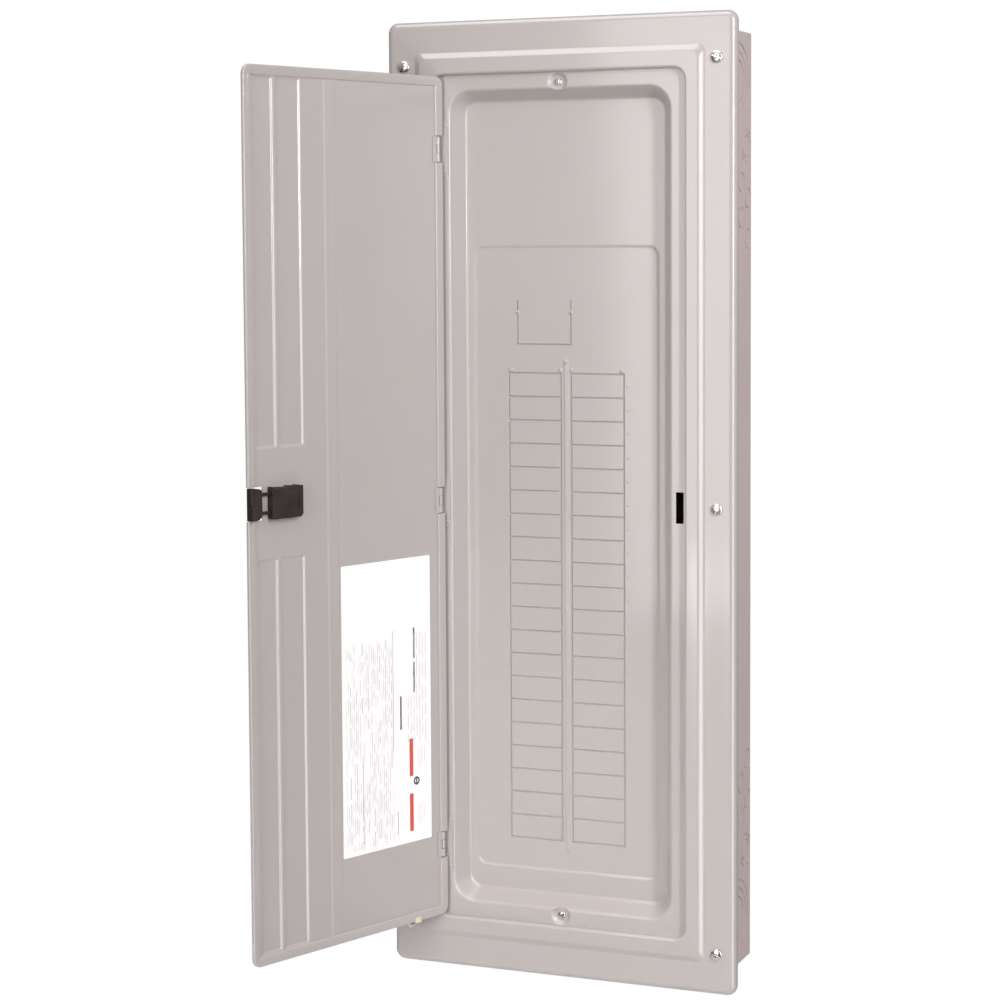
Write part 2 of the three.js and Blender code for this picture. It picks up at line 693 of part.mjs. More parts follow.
// One bus bar with a stab finger at every second row; side is -1 for the left bar.
function busBar(side) {
  const lower = SUPPORT_ZS.lower - BUS_PAST_SUPPORT;
  const x0 = side * BUS_X - BUS_W / 2;
  const pieces = [slab(x0, x0 + BUS_W, BUS_Y, BUS_Y + BUS_T, lower, BUS_TOP)];
  const firstRow = side < 0 ? 0 : 1;
  const arm = [side * BUS_ARM.from, side * BUS_ARM.to].sort((a, b) => a - b);
  for (let row = firstRow; row < ROWS; row += 2) {
    const z = FIRST_ROW_TOP - (row + 1 / 2) * PITCH;
    pieces.push(slab(arm[0], arm[1], BUS_Y, BUS_Y + BUS_T, z - BUS_ARM.halfH, z + BUS_ARM.halfH));
    pieces.push(slab(
      -STAB.halfW, STAB.halfW, BUS_Y - STAB.reach, BUS_Y + STAB.root, z - STAB.halfT, z + STAB.halfT,
    ));
  }
  const holes = ['upper', 'lower'].map((row) => rodY(
    side * BUS_X, SUPPORT_ZS[row], HOLE_R, BUS_Y - 1, BUS_Y + BUS_T + 1,
  ));
  return cut(union(pieces), holes);
}

const LUG_BACK = BUS_Y - GAP;
const LUG_MID = (LUG.bottom + LUG.top) / 2;

function mainLug(side) {
  const x = side * BUS_X;
  const block = slab(x - LUG.halfW, x + LUG.halfW, LUG_BACK - LUG.depth, LUG_BACK, LUG.bottom, LUG.top);
  const { radius, depth, screwR, screwDepth } = LUG_BORE;
  const wireBore = rodZ(x, LUG_BACK - depth, radius, LUG.bottom - 1, LUG.top + 1);
  const screwBore = rodY(x, LUG_MID, screwR, LUG_BACK - LUG.depth - 1, LUG_BACK - screwDepth);
  return cut(block, [wireBore, screwBore]);
}

function setScrew() {
  const body = rodY(0, 0, SET_SCREW.radius, 0, SET_SCREW.length);
  return body.subtract(rodY(0, 0, SET_SCREW.socketR, -1, SET_SCREW.socketDepth, HEX_STEPS));
}

// A terminal bar along Z with a row of screw heads on its front.
function terminalBar({ width, depth, length, screws }) {
  const pieces = [slab(-width / 2, width / 2, -depth, 0, -length / 2, length / 2)];
  const { radiusShare, height, root } = TERMINAL_SCREW;
  for (let i = 0; i < screws; i += 1) {
    const z = (i - (screws - 1) / 2) * (length / screws);
    pieces.push(rodY(0, z, width * radiusShare, -depth - height, -depth + root, TERMINAL_STEPS));
  }
  return union(pieces);
}

function neutralInsulator() {
  const { halfW, halfH } = INSULATOR;
  return slab(-halfW, halfW, NEUTRAL_BACK + GAP, PAN_Y - GAP, -halfH, halfH);
}

function neutralStrap() {
  const half = NEUTRAL_X + STRAP.past;
  const front = NEUTRAL_BACK + GAP;
  return slab(-half, half, front, front + STRAP.thickness, STRAP.bottom, STRAP.top);
}

function neutralLug() {
  const { halfW, depth, halfH, boreR, boreDepth } = NEUTRAL_LUG;
  const block = slab(-halfW, halfW, -depth, 0, -halfH, halfH);
  return block.subtract(rodZ(0, -boreDepth, boreR, -halfH - 1, halfH + 1));
}

// The post that carries one end of the dead front, from the box back to the flange.
function deadFrontSupport() {
  const back = -BOX_T - GAP;
  const front = WALL_Y - FLANGE_RISE + DIMPLE_DEPTH + SHEET_T + GAP;
  const { halfW, webZ, footZ, tabZ } = POST;
  const webTop = webZ + BOX_T;
  const web = slab(-halfW, halfW, front, back, webZ, webTop);
  const foot = slab(-halfW, halfW, back - BOX_T, back, footZ, webTop);
  const tab = slab(-halfW, halfW, front, front + BOX_T, tabZ, webTop);
  return union([web, foot, tab]).subtract(rodY(0, FRONT_SCREW_Z, HOLE_R, front - 1, front + 2 * BOX_T));
}

// Assembly.
function addFront() {
  addSolid(group, 'enclosure_box', enclosureBox(), PAINT);
  addSolid(group, 'trim_cover', trimCover(), PAINT);
  addSolid(group, 'dead_front', deadFront(), PAINT);
  for (const [place, x, z] of trimScrewPlaces()) {
    addScrew(group, `trim_screw_${place}`, [x, WALL_Y - BORDER_RISE - GAP, z], TRIM_SCREW);
  }
  for (const [place, end] of [['top', 1], ['bottom', -1]]) {
    const screwPlace = [0, WALL_Y - FLANGE_RISE + DIMPLE_DEPTH - GAP, end * FRONT_SCREW_Z];
    addScrew(group, `dead_front_screw_${place}`, screwPlace, FRONT_SCREW);
    const support = addSolid(group, `dead_front_support_${place}`, deadFrontSupport(), GALVANISED);
    support.rotation.y = end > 0 ? 0 : Math.PI;
  }
}

function addBusSide(place, side) {
  addSolid(group, `bus_bar_${place}`, busBar(side), ALUMINIUM);
  addSolid(group, `main_lug_${place}`, mainLug(side), ALUMINIUM);
  const lugScrew = addSolid(group, `lug_screw_${place}`, setScrew(), ZINC);
  lugScrew.position.set(side * BUS_X, LUG_BACK - LUG.depth - SET_SCREW.projects, LUG_MID);
  for (const row of ['upper', 'lower']) {
    addScrew(group, `bus_screw_${row}_${place}`, [side * BUS_X, LUG_BACK, SUPPORT_ZS[row]], BUS_SCREW);
  }
  const neutral = addSolid(group, `neutral_bar_${place}`, terminalBar(NEUTRAL_BAR), ALUMINIUM);
  neutral.position.set(side * NEUTRAL_X, NEUTRAL_BACK, NEUTRAL_MID_Z);
  for (const [row, z] of Object.entries(INSULATOR_ZS)) {
    const insulator = addSolid(group, `neutral_insulator_${row}_${place}`, neutralInsulator(), DARK_PLASTIC);
    insulator.position.set(side * NEUTRAL_X, 0, z);
  }
}

function addInterior() {
  addSolid(group, 'interior_pan', interiorPan(), GALVANISED);
  for (const [place, x, z] of PAN_SCREWS) {
    addScrew(group, `pan_screw_${place}`, [x, PAN_Y - GAP, z], PAN_SCREW);
  }
  for (const [place, z] of Object.entries(SUPPORT_ZS)) {
    addSolid(group, `bus_support_${place}`, busSupport(), DARK_PLASTIC).position.z = z;
  }
  addBusSide('left', -1);
  addBusSide('right', 1);
  addSolid(group, 'neutral_strap', neutralStrap(), ALUMINIUM);
  const lugZ = NEUTRAL_MID_Z + NEUTRAL_BAR.length / 2 + NEUTRAL_LUG.halfH + NEUTRAL_LUG.gap;
  addSolid(group, 'neutral_lug', neutralLug(), ALUMINIUM).position.set(NEUTRAL_X, NEUTRAL_BACK, lugZ);
  addSolid(group, 'ground_bar', terminalBar(GROUND_BAR), ALUMINIUM).position.set(...GROUND_PLACE);
}

function addDoor() {
  const doorGroup = new THREE.Group();
  doorGroup.position.set(HINGE_X, HINGE_Y, 0);
  doorGroup.rotation.z = THREE.MathUtils.degToRad(-DOOR_REST);
  group.add(doorGroup);
  addSolid(doorGroup, 'door', door(), PAINT);
  addSolid(doorGroup, 'latch_slide', latchSlide(), BLACK_PLASTIC).position.z = LATCH_Z;
  addSolid(doorGroup, 'latch_housing', latchHousing(), BLACK_PLASTIC).position.z = LATCH_Z;
  addSolid(doorGroup, 'door_label', doorLabel(), PAPER);
  addSolid(doorGroup, 'door_bumper', doorBumper(), CREAM_PLASTIC);
  for (const [place, z] of Object.entries(HINGE_ROWS)) {
    addSolid(group, `hinge_trim_leaf_${place}`, hingeTrimLeaf(), PAINT).position.set(HINGE_X, HINGE_Y, z);
    addSolid(group, `hinge_pin_${place}`, hingePin(), ZINC).position.set(HINGE_X, HINGE_Y, z);
    addSolid(doorGroup, `hinge_door_leaf_${place}`, hingeDoorLeaf(), PAINT).position.z = z;
  }
}

addFront();
addInterior();
addDoor();

export default group;
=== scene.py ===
"""Subpanel enclosure: the fine surfaces, materials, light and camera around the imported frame."""
import json
import math

import bmesh
import bpy
import numpy as np
from mathutils import Matrix, Vector


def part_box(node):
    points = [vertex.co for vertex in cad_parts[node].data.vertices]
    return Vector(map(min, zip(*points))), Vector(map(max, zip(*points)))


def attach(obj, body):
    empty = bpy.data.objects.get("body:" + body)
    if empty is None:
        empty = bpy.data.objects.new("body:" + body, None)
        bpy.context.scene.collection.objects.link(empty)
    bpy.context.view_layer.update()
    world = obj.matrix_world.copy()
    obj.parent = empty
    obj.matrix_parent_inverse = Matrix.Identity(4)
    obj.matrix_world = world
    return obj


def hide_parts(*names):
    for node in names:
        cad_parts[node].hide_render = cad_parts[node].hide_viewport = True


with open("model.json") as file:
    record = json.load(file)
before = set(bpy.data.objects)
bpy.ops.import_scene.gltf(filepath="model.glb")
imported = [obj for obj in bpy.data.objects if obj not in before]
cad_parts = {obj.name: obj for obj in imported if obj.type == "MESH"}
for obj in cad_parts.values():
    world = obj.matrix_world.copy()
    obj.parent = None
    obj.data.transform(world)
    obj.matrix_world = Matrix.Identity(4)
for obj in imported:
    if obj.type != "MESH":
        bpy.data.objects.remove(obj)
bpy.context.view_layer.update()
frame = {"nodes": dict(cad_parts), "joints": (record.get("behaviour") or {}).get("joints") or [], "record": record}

# ---------------------------------------------------------------- sizes, in millimetres
# Shapes are drawn in millimetres and scaled to metres when a piece is placed.
MM = 0.001


def box_mm(node):
    """Lowest and highest corner of a CAD node, in millimetres."""
    low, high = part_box(node)
    return low / MM, high / MM


def middle_z(node):
    """Height of a CAD node's middle, in millimetres."""
    low, high = box_mm(node)
    return (low.z + high.z) / 2


TRIM_LOW, TRIM_HIGH = box_mm("trim_cover")
TRIM_HALF_W = TRIM_HIGH.x
TRIM_HALF_H = TRIM_HIGH.z
WALL_Y = TRIM_HIGH.y
FIELD_RISE = WALL_Y - TRIM_LOW.y
BORDER_RISE = 9.0
TRIM_R = 11.0
TRIM_T = 1.4
ROLL = 8.0
STEP_START = 33.0
STEP_END = 41.0
OPEN_HALF_W = 142.5
OPEN_HALF_H = 457.0
OPEN_R = 13.0
OPEN_BACK_RISE = 7.0
OPEN_LIP = 3.0

FRONT_LOW, FRONT_HIGH = box_mm("dead_front")
FLANGE_Y = FRONT_LOW.y
FLANGE_HALF_W = FRONT_HIGH.x
FLANGE_HALF_H = FRONT_HIGH.z
SHEET_T = 1.2
FRONT_CORNER_R = 8.0
RECESS_DEPTH = 20.5
RECESS_HALF_W = 125.0
RECESS_HALF_H = 440.0
RECESS_R = 25.0
RECESS_DRAFT = 11.0
PANEL_HALF_W = 105.3
PANEL_TOP = 274.0
PANEL_BOTTOM = -404.0
PANEL_R = 12.0
PANEL_DEPTH = 0.8
ROWS = 20
PITCH = 25.4
FIRST_ROW_TOP = 137.5
LAST_ROW_BOTTOM = FIRST_ROW_TOP - ROWS * PITCH
SPACE_INNER = 6.0
SPACE_OUTER = 65.7
SCORE_HALF = 1.1
SCORE_DEPTH = 1.6
BEAD_HALF = 2.0
BEAD_RAISE = 0.9
MAIN_LEFT = -55.7
MAIN_RIGHT = 5.5
MAIN_BOTTOM = 168.5
MAIN_TOP = 216.0
# Pips are (radius, height), after where they stand.
DOT_X = 70.2
DOT_PIP = (1.3, 0.5)
TAB_REACH = 1.9
TAB_PIP = (1.2, 0.45)
TOP_PIP_XS = (SPACE_INNER + 0.5, SPACE_OUTER - 2.0)
TOP_PIP_RISE = 3.4
TOP_PIP = (2.1, 1.7)
BEAD_PIP_RISE = 13.0
BEAD_PIP = (2.4, 1.4)
MAIN_PIPS = ((MAIN_RIGHT, 203.0), (MAIN_LEFT, 203.0))
MAIN_PIP = (2.1, 1.7)
SLOT = (130.9, 139.5, -16.5, 16.5)
DIMPLE_R = 9.0
DIMPLE_DEPTH = 3.5

FLOOR_Z = -1.35
FLOOR_HALF = 1.8
WORLD_STOPS = (
    (0.0, (0.02, 0.018, 0.016)),
    (0.46, (0.06, 0.057, 0.053)),
    (0.6, (0.50, 0.475, 0.47)),
    (1.0, (0.62, 0.60, 0.60)),
)
CAMERA_AT = (0.9407, -2.4239, 0.2756)
CAMERA_YAW, CAMERA_PITCH, CAMERA_ROLL = (math.radians(angle) for angle in (21.889, 4.105, -0.28))
CAMERA_SENSOR = 36.0
CAMERA_LENS = 88.05
CAMERA_SHIFT = (-0.0322, -0.08)

JOINTS = {joint["name"]: joint for joint in frame["joints"]}
HINGE = Vector(JOINTS["door_hinge"]["pos_m"])
REST_ANGLE = math.radians(JOINTS["door_hinge"]["range_deg"][0])
DOOR_PLACE = Matrix.Translation(HINGE) @ Matrix.Rotation(REST_ANGLE, 4, "Z")
DOOR_X0 = -5.0
DOOR_X1 = 276.4
DOOR_HALF_H = 455.5
DOOR_R = 9.0
SKIN_Y = -0.4
RIM_Y = 3.4
HEM = 9.8
RIBS = ((13.0, 41.0), (44.0, 78.0))
RIB_ENDS = ((72.0, 445.0), (-445.0, -40.0))
RIB_RAISE = 1.3
CHANNEL = (109.0, 126.0)
CHANNEL_DEPTH = 0.8
HINGE_ROWS = ("upper", "middle", "lower")
KNUCKLE_R = 2.6
KNUCKLE_BORE_R = 1.5
TRIM_KNUCKLE_HALF = 5.0
TRIM_LEAF_X = (-6.8, 9.0)
TRIM_LEAF_Y = (2.9, 7.2)
TRIM_LEAF_T = 0.9
TRIM_LEAF_HALF_H = 30.0
RIVET_X = 7.0
RIVET_Z = 25.0
RIVET_DOME = ((0.02, 5.4), (0.8, 5.45), (1.3, 5.75), (1.6, 6.3), (1.6, 6.6), (0.02, 6.6))
PIN_SHAPE = ((0.02, -13.4), (0.9, -13.4), (1.2, -13.0), (1.2, 13.0), (0.9, 13.4), (0.02, 13.4))
DOOR_KNUCKLE = (5.4, 13.4)
DOOR_LEAF_X = (3.6, 9.0)
DOOR_LEAF_Y = (1.1, 2.1)
DOOR_LEAF_HALF_H = 14.0
LEAF_NOTCH_HALF = DOOR_LEAF_HALF_H + 0.5
BUMPER_X = (38.0, 46.0)
BUMPER_HANG = 0.9
LABEL = (127.0, 258.0, -367.0, -58.0)
LABEL_BACK_Y = 1.1
LABEL_FACE_Y = 1.4
LABEL_R = 1.5
PRINT_SINK = 0.02
PRINT_RISE = 0.04
LATCH_Z = 17.0
LATCH_HALF_H = 16.4
LATCH_NOTCH_HALF = 17.0
LATCH_NOTCH_W = 21.0
PRONG_Z = 9.5
HOOK_Z = (-15.5, -1.5)
HOOK_BACK_Y = 10.9
LATCH_PLACE = DOOR_PLACE @ Matrix.Translation((0, 0, LATCH_Z * MM))

BOX_HIGH = box_mm("enclosure_box")[1]
BOX_T = 1.5
BOX_LIP = 16.0
NAIL_HOLE_R = 3.5
NAIL_HOLES = tuple((x, z) for x in (-130, 130) for z in (-430, 430))
GROOVE_WIDTH = 1.9
GROOVE_DEPTH = 1.1
TAB_WIDTH = 2.8
# Knockouts are (distance from the end wall, or x on an end wall; depth behind the wall's face; radii).
SIDE_KNOCKOUTS = (
    (53.0, 49.0, (40.0, 31.0, 22.0)),
    (120.0, 79.0, (17.0, 11.5)),
    (159.0, 63.0, (10.5,)),
    (175.0, 86.0, (10.5,)),
    (196.0, 63.0, (10.5,)),
    (218.0, 86.0, (10.5,)),
)
END_KNOCKOUTS = (
    (0.0, 49.0, (32.0, 25.0, 17.0)),
    (78.0, 49.0, (22.0, 14.0)),
    (-78.0, 49.0, (22.0, 14.0)),
    (135.0, 49.0, (14.0,)),
    (-135.0, 49.0, (14.0,)),
)


# ---------------------------------------------------------------- mesh tools
def make_object(name, vertices, faces):
    """A mesh object in millimetres with merged vertices and normals pointing out."""
    mesh = bpy.data.meshes.new(name)
    mesh.from_pydata([tuple(map(float, v)) for v in vertices], [], faces)
    bm = bmesh.new()
    bm.from_mesh(mesh)
    bmesh.ops.remove_doubles(bm, verts=bm.verts, dist=1e-4)
    bmesh.ops.dissolve_degenerate(bm, edges=bm.edges, dist=1e-5)
    bmesh.ops.recalc_face_normals(bm, faces=bm.faces)
    bm.to_mesh(mesh)
    bm.free()
    obj = bpy.data.objects.new(name, mesh)
    bpy.context.scene.collection.objects.link(obj)
    return obj


def bake_modifiers(obj):
    """Replaces the mesh by what its modifiers give."""
    bpy.context.view_layer.update()
    depsgraph = bpy.context.evaluated_depsgraph_get()
    mesh = bpy.data.meshes.new_from_object(obj.evaluated_get(depsgraph))
    obj.modifiers.clear()
    obj.data = mesh


def boolean(obj, others, operation):
    """Joins or cuts obj with the other objects, which are used up."""
    for other in others:
        modifier = obj.modifiers.new("boolean", "BOOLEAN")
        modifier.operation = operation
        modifier.solver = "EXACT"
        modifier.object = other
        bake_modifiers(obj)
        bpy.data.objects.remove(other)
    return obj


def bevel(obj, width, segments=3, angle=30.0):
    """Rounds the edges sharper than angle, in degrees."""
    modifier = obj.modifiers.new("bevel", "BEVEL")
    modifier.width = width
    modifier.segments = segments
    modifier.limit_method = "ANGLE"
    modifier.angle_limit = math.radians(angle)
    bake_modifiers(obj)
    return obj


def place(obj, body, material, nodes=(), matrix=None, sharp=35.0):
    """Scales a piece to metres, shades it, gives it a material, ties it to its body and hides the CAD nodes it
    stands in for.
    """
    obj.data.transform(Matrix.Scale(MM, 4))
    if matrix is not None:
        obj.data.transform(matrix)
    mesh = obj.data
    mesh.polygons.foreach_set("use_smooth", [True] * len(mesh.polygons))
    mesh.set_sharp_from_angle(angle=math.radians(sharp))
    weighted = obj.modifiers.new("weighted", "WEIGHTED_NORMAL")
    weighted.keep_sharp = True
    bake_modifiers(obj)
    obj.data.materials.clear()
    obj.data.materials.append(material)
    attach(obj, body)
    if nodes:
        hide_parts(*nodes)
    return obj


def slab(name, x0, x1, y0, y1, z0, z1):
    """A box between two corners."""
    corners = [(x, y, z) for x in (x0, x1) for y in (y0, y1) for z in (z0, z1)]
    faces = [(0, 1, 3, 2), (4, 6, 7, 5), (0, 4, 5, 1), (2, 3, 7, 6), (0, 2, 6, 4), (1, 5, 7, 3)]
    return make_object(name, corners, faces)


def ring(half_w, half_h, radius, y, x=0.0, z=0.0, steps=10):
    """A rounded rectangle in the XZ plane, as a loop of points."""
    radius = max(min(radius, half_w, half_h), 0.0)
    points = []
    for corner, (sx, sz) in enumerate(((1, 1), (-1, 1), (-1, -1), (1, -1))):
        for step in range(steps + 1):
            angle = (corner + step / steps) * math.pi / 2
            px = sx * (half_w - radius) + radius * math.cos(angle)
            pz = sz * (half_h - radius) + radius * math.sin(angle)
            points.append((x + px, y, z + pz))
    return points


def loft(name, rings, closed=False):
    """Joins loops of points in order; an open loft is capped, a closed one runs back to its start."""
    count = len(rings[0])
    vertices = [point for loop in rings for point in loop]
    spans = len(rings) if closed else len(rings) - 1
    faces = []
    for i in range(spans):
        a, b = i * count, ((i + 1) % len(rings)) * count
        for j in range(count):
            k = (j + 1) % count
            faces.append((a + j, a + k, b + k, b + j))
    if not closed:
        faces.append(tuple(reversed(range(count))))
        faces.append(tuple(range(len(vertices) - count, len(vertices))))
    return make_object(name, vertices, faces)


def turned(name, profile, steps=32, axis="Y"):
    """A body of revolution: profile is (radius, along) from axis to axis."""
    rings = []
    for radius, along in profile:
        loop = []
        for step in range(steps):
            angle = 2 * math.pi * step / steps
            a, b = radius * math.cos(angle), radius * math.sin(angle)
            loop.append({"X": (along, a, b), "Y": (a, along, b), "Z": (a, b, along)}[axis])
        rings.append(loop)
    return loft(name, rings)


def rod(name, radius, start, end, axis, centre, steps=32, round_over=0.0):
    """A round bar with softened ends, moved so that its axis passes through centre."""
    r = round_over
    profile = [(radius - r, start), (radius, start + r), (radius, end - r), (radius - r, end)]
    if r == 0.0:
        profile = [(radius, start), (radius, end)]
    obj = turned(name, profile, steps, axis)
    obj.data.transform(Matrix.Translation(centre))
    return obj


def extruded(name, outline, y0, y1):
    """A closed outline of (x, z) points, extruded along Y."""
    loops = [[(x, y, z) for x, z in outline] for y in (y0, y1)]
    return loft(name, loops)


# ---------------------------------------------------------------- pressed sheets
def ramp(t, soft=0.25):
    """From 0 to 1 as t goes from 0 to 1, straight in the middle and rounded at both ends."""
    low = np.clip(t + soft, 0.0, 2 * soft) ** 2 / (4 * soft)
    high = np.clip(1 - t + soft, 0.0, 2 * soft) ** 2 / (4 * soft)
    middle = np.clip(t, soft, 1 - soft)
    return np.where(t < soft, low, np.where(t > 1 - soft, 1 - high, middle))


def inside(x, z, x0, x1, z0, z1, radius):
    """Distance into a rounded rectangle, negative outside it."""
    dx = np.abs(x - (x0 + x1) / 2) - ((x1 - x0) / 2 - radius)
    dz = np.abs(z - (z0 + z1) / 2) - ((z1 - z0) / 2 - radius)
    outer = np.hypot(np.maximum(dx, 0), np.maximum(dz, 0))
    return radius - outer - np.minimum(np.maximum(dx, dz), 0)


def score(distance):
    """Depth of a V-shaped score line at a distance from its middle."""
    return SCORE_DEPTH * np.clip(1 - np.abs(distance) / SCORE_HALF, 0, 1)


def grid_lines(spans, extra=()):
    """Sorted line positions from (start, stop, step) spans and single values."""
    values = list(extra)
    for start, stop, step in spans:
        count = max(int(round(abs(stop - start) / step)), 1)
        values += list(np.linspace(start, stop, count + 1))
    values = np.unique(np.round(values, 3))
    kept = [values[0]]
    for value in values[1:]:
        if value - kept[-1] > 0.12:
            kept.append(value)
    return np.array(kept)


def round_corners(x, z, radius):
    """Moves the grid's square corners onto round ones of the given radius."""
    half_w = (x.max() - x.min()) / 2
    half_h = (z.max() - z.min()) / 2
    cx, cz = (x.max() + x.min()) / 2, (z.max() + z.min()) / 2
    u = (np.abs(x - cx) - (half_w - radius)) / radius
    v = (np.abs(z - cz) - (half_h - radius)) / radius
    corner = (u > 0) & (v > 0)
    u1 = np.where(corner, u * np.sqrt(np.maximum(1 - v * v / 2, 0)), u)
    v1 = np.where(corner, v * np.sqrt(np.maximum(1 - u * u / 2, 0)), v)
    x1 = cx + np.sign(x - cx) * (half_w - radius + u1 * radius)
    z1 = cz + np.sign(z - cz) * (half_h - radius + v1 * radius)
    return np.where(corner, x1, x), np.where(corner, z1, z)


def pressed_sheet(name, xs, zs, corner_r, depth, thickness, rim=(), hole=None):
    """A sheet whose front lies at y = depth(x, z); rim is (outward, y) points round its edge."""
    x, z = np.meshgrid(xs, zs, indexing="ij")
    x, z = round_corners(x, z, corner_r)
    y = depth(x, z)
    eps = 0.2
    slope_x = (depth(x + eps, z) - depth(x - eps, z)) / (2 * eps)
    slope_z = (depth(x, z + eps) - depth(x, z - eps)) / (2 * eps)
    normal = np.stack([-slope_x, np.ones_like(x), -slope_z], -1)
    normal /= np.linalg.norm(normal, axis=-1, keepdims=True)
    front = np.stack([x, y, z], -1)
    back = front + normal * thickness
    rows, cols = x.shape
    total = rows * cols
    index = np.arange(total).reshape(rows, cols)
    vertices = [*front.reshape(-1, 3), *back.reshape(-1, 3)]
    kept = np.ones((rows - 1, cols - 1), bool)
    if hole is not None:
        mid_x = (xs[:-1] + xs[1:])[:, None] / 2
        mid_z = (zs[:-1] + zs[1:])[None, :] / 2
        kept = ~((mid_x > hole[0]) & (mid_x < hole[1]) & (mid_z > hole[2]) & (mid_z < hole[3]))
    faces = []
    for i, j in zip(*np.nonzero(kept)):
        quad = (index[i, j], index[i + 1, j], index[i + 1, j + 1], index[i, j + 1])
        faces.append(quad)
        faces.append(tuple(total + q for q in reversed(quad)))
    if hole is not None:
        faces += hole_walls(index, kept, total)
    loop = edge_loop(index)
    centre = np.array([(xs[0] + xs[-1]) / 2, 0, (zs[0] + zs[-1]) / 2])
    half = np.array([(xs[-1] - xs[0]) / 2, 0, (zs[-1] - zs[0]) / 2])
    outward = [edge_normal(vertices[i], centre, half, corner_r) for i in loop]
    chain = [loop]
    for offset, rim_y in rim:
        start = len(vertices)
        for i, direction in zip(loop, outward):
            point = vertices[i] + direction * offset
            vertices.append(np.array([point[0], rim_y, point[2]]))
        chain.append(list(range(start, start + len(loop))))
    chain.append([total + i for i in loop])
    for first, second in zip(chain, chain[1:]):
        for a in range(len(loop)):
            b = (a + 1) % len(loop)
            faces.append((first[a], first[b], second[b], second[a]))
    return make_object(name, vertices, [tuple(map(int, f)) for f in faces])


def edge_loop(index):
    """The indices round the outside of a grid, in order."""
    return [*index[:, 0], *index[-1, 1:], *index[-2::-1, -1], *index[0, -2:0:-1]]


def edge_normal(point, centre, half, radius):
    """The outward direction of a rounded rectangle's edge at a point on it."""
    offset = point - centre
    core = np.maximum(half - radius, 0)
    over = np.abs(offset) - core
    over[1] = 0
    corner = np.maximum(over, 0)
    if corner[0] > 1e-6 and corner[2] > 1e-6:
        direction = corner / np.linalg.norm(corner)
    else:
        direction = np.array([1.0, 0, 0]) if over[0] > over[2] else np.array([0, 0, 1.0])
    return direction * np.where(offset < 0, -1, 1)


def hole_walls(index, kept, total):
    """Faces that join front and back round cells left out of a grid."""
    faces = []
    rows, cols = kept.shape
    for i, j in zip(*np.nonzero(~kept)):
        sides = (
            (i - 1, j, index[i, j], index[i, j + 1]),
            (i + 1, j, index[i + 1, j + 1], index[i + 1, j]),
            (i, j - 1, index[i + 1, j], index[i, j]),
            (i, j + 1, index[i, j + 1], index[i + 1, j + 1]),
        )
        for ni, nj, a, b in sides:
            if 0 <= ni < rows and 0 <= nj < cols and kept[ni, nj]:
                faces.append((a, b, total + b, total + a))
    return faces


# ---------------------------------------------------------------- materials
def new_material(name):
    material = bpy.data.materials.new(name)
    material.use_nodes = True
    tree = material.node_tree
    return material, tree, tree.nodes["Principled BSDF"]


def object_coords(tree):
    return tree.nodes.new("ShaderNodeTexCoord").outputs["Object"]


def noise(tree, vector, scale, detail=3.0, roughness=0.5, stretch=None):
    """A noise texture's value; stretch squeezes it along the axes first."""
    if stretch is not None:
        mapping = tree.nodes.new("ShaderNodeMapping")
        mapping.inputs["Scale"].default_value = stretch
        tree.links.new(vector, mapping.inputs["Vector"])
        vector = mapping.outputs["Vector"]
    node = tree.nodes.new("ShaderNodeTexNoise")
    node.inputs["Scale"].default_value = scale
    node.inputs["Detail"].default_value = detail
    node.inputs["Roughness"].default_value = roughness
    tree.links.new(vector, node.inputs["Vector"])
    return node.outputs["Fac"]


def ramp_node(tree, value, stops):
    """A colour ramp from (position, colour) stops."""
    node = tree.nodes.new("ShaderNodeValToRGB")
    elements = node.color_ramp.elements
    elements[0].position, elements[0].color = stops[0][0], (*stops[0][1], 1)
    elements[1].position, elements[1].color = stops[-1][0], (*stops[-1][1], 1)
    for position, colour in stops[1:-1]:
        element = elements.new(position)
        element.color = (*colour, 1)
    tree.links.new(value, node.inputs["Fac"])
    return node.outputs["Color"]


def span(tree, value, low, high, to_low, to_high):
    """A value stretched from one range to another."""
    node = tree.nodes.new("ShaderNodeMapRange")
    for key, number in zip(("From Min", "From Max", "To Min", "To Max"), (low, high, to_low, to_high)):
        node.inputs[key].default_value = number
    tree.links.new(value, node.inputs["Value"])
    return node.outputs["Result"]


def bump(tree, bsdf, layers):
    """Stacks (height, strength, distance) bumps on the shader's normal."""
    previous = None
    for height, strength, distance in layers:
        node = tree.nodes.new("ShaderNodeBump")
        node.inputs["Strength"].default_value = strength
        node.inputs["Distance"].default_value = distance
        tree.links.new(height, node.inputs["Height"])
        if previous is not None:
            tree.links.new(previous, node.inputs["Normal"])
        previous = node.outputs["Normal"]
    tree.links.new(previous, bsdf.inputs["Normal"])


def tint(tree, bsdf, value, colour, *stops):
    """Shades the base colour by a value; stops are (position, factor on the colour)."""
    shades = [(at, tuple(min(c * factor, 1.0) for c in colour)) for at, factor in stops]
    tree.links.new(ramp_node(tree, value, shades), bsdf.inputs["Base Color"])


def roughen(tree, bsdf, value, low, high, smoothest, roughest):
    """Spreads the roughness over a value's range."""
    tree.links.new(span(tree, value, low, high, smoothest, roughest), bsdf.inputs["Roughness"])


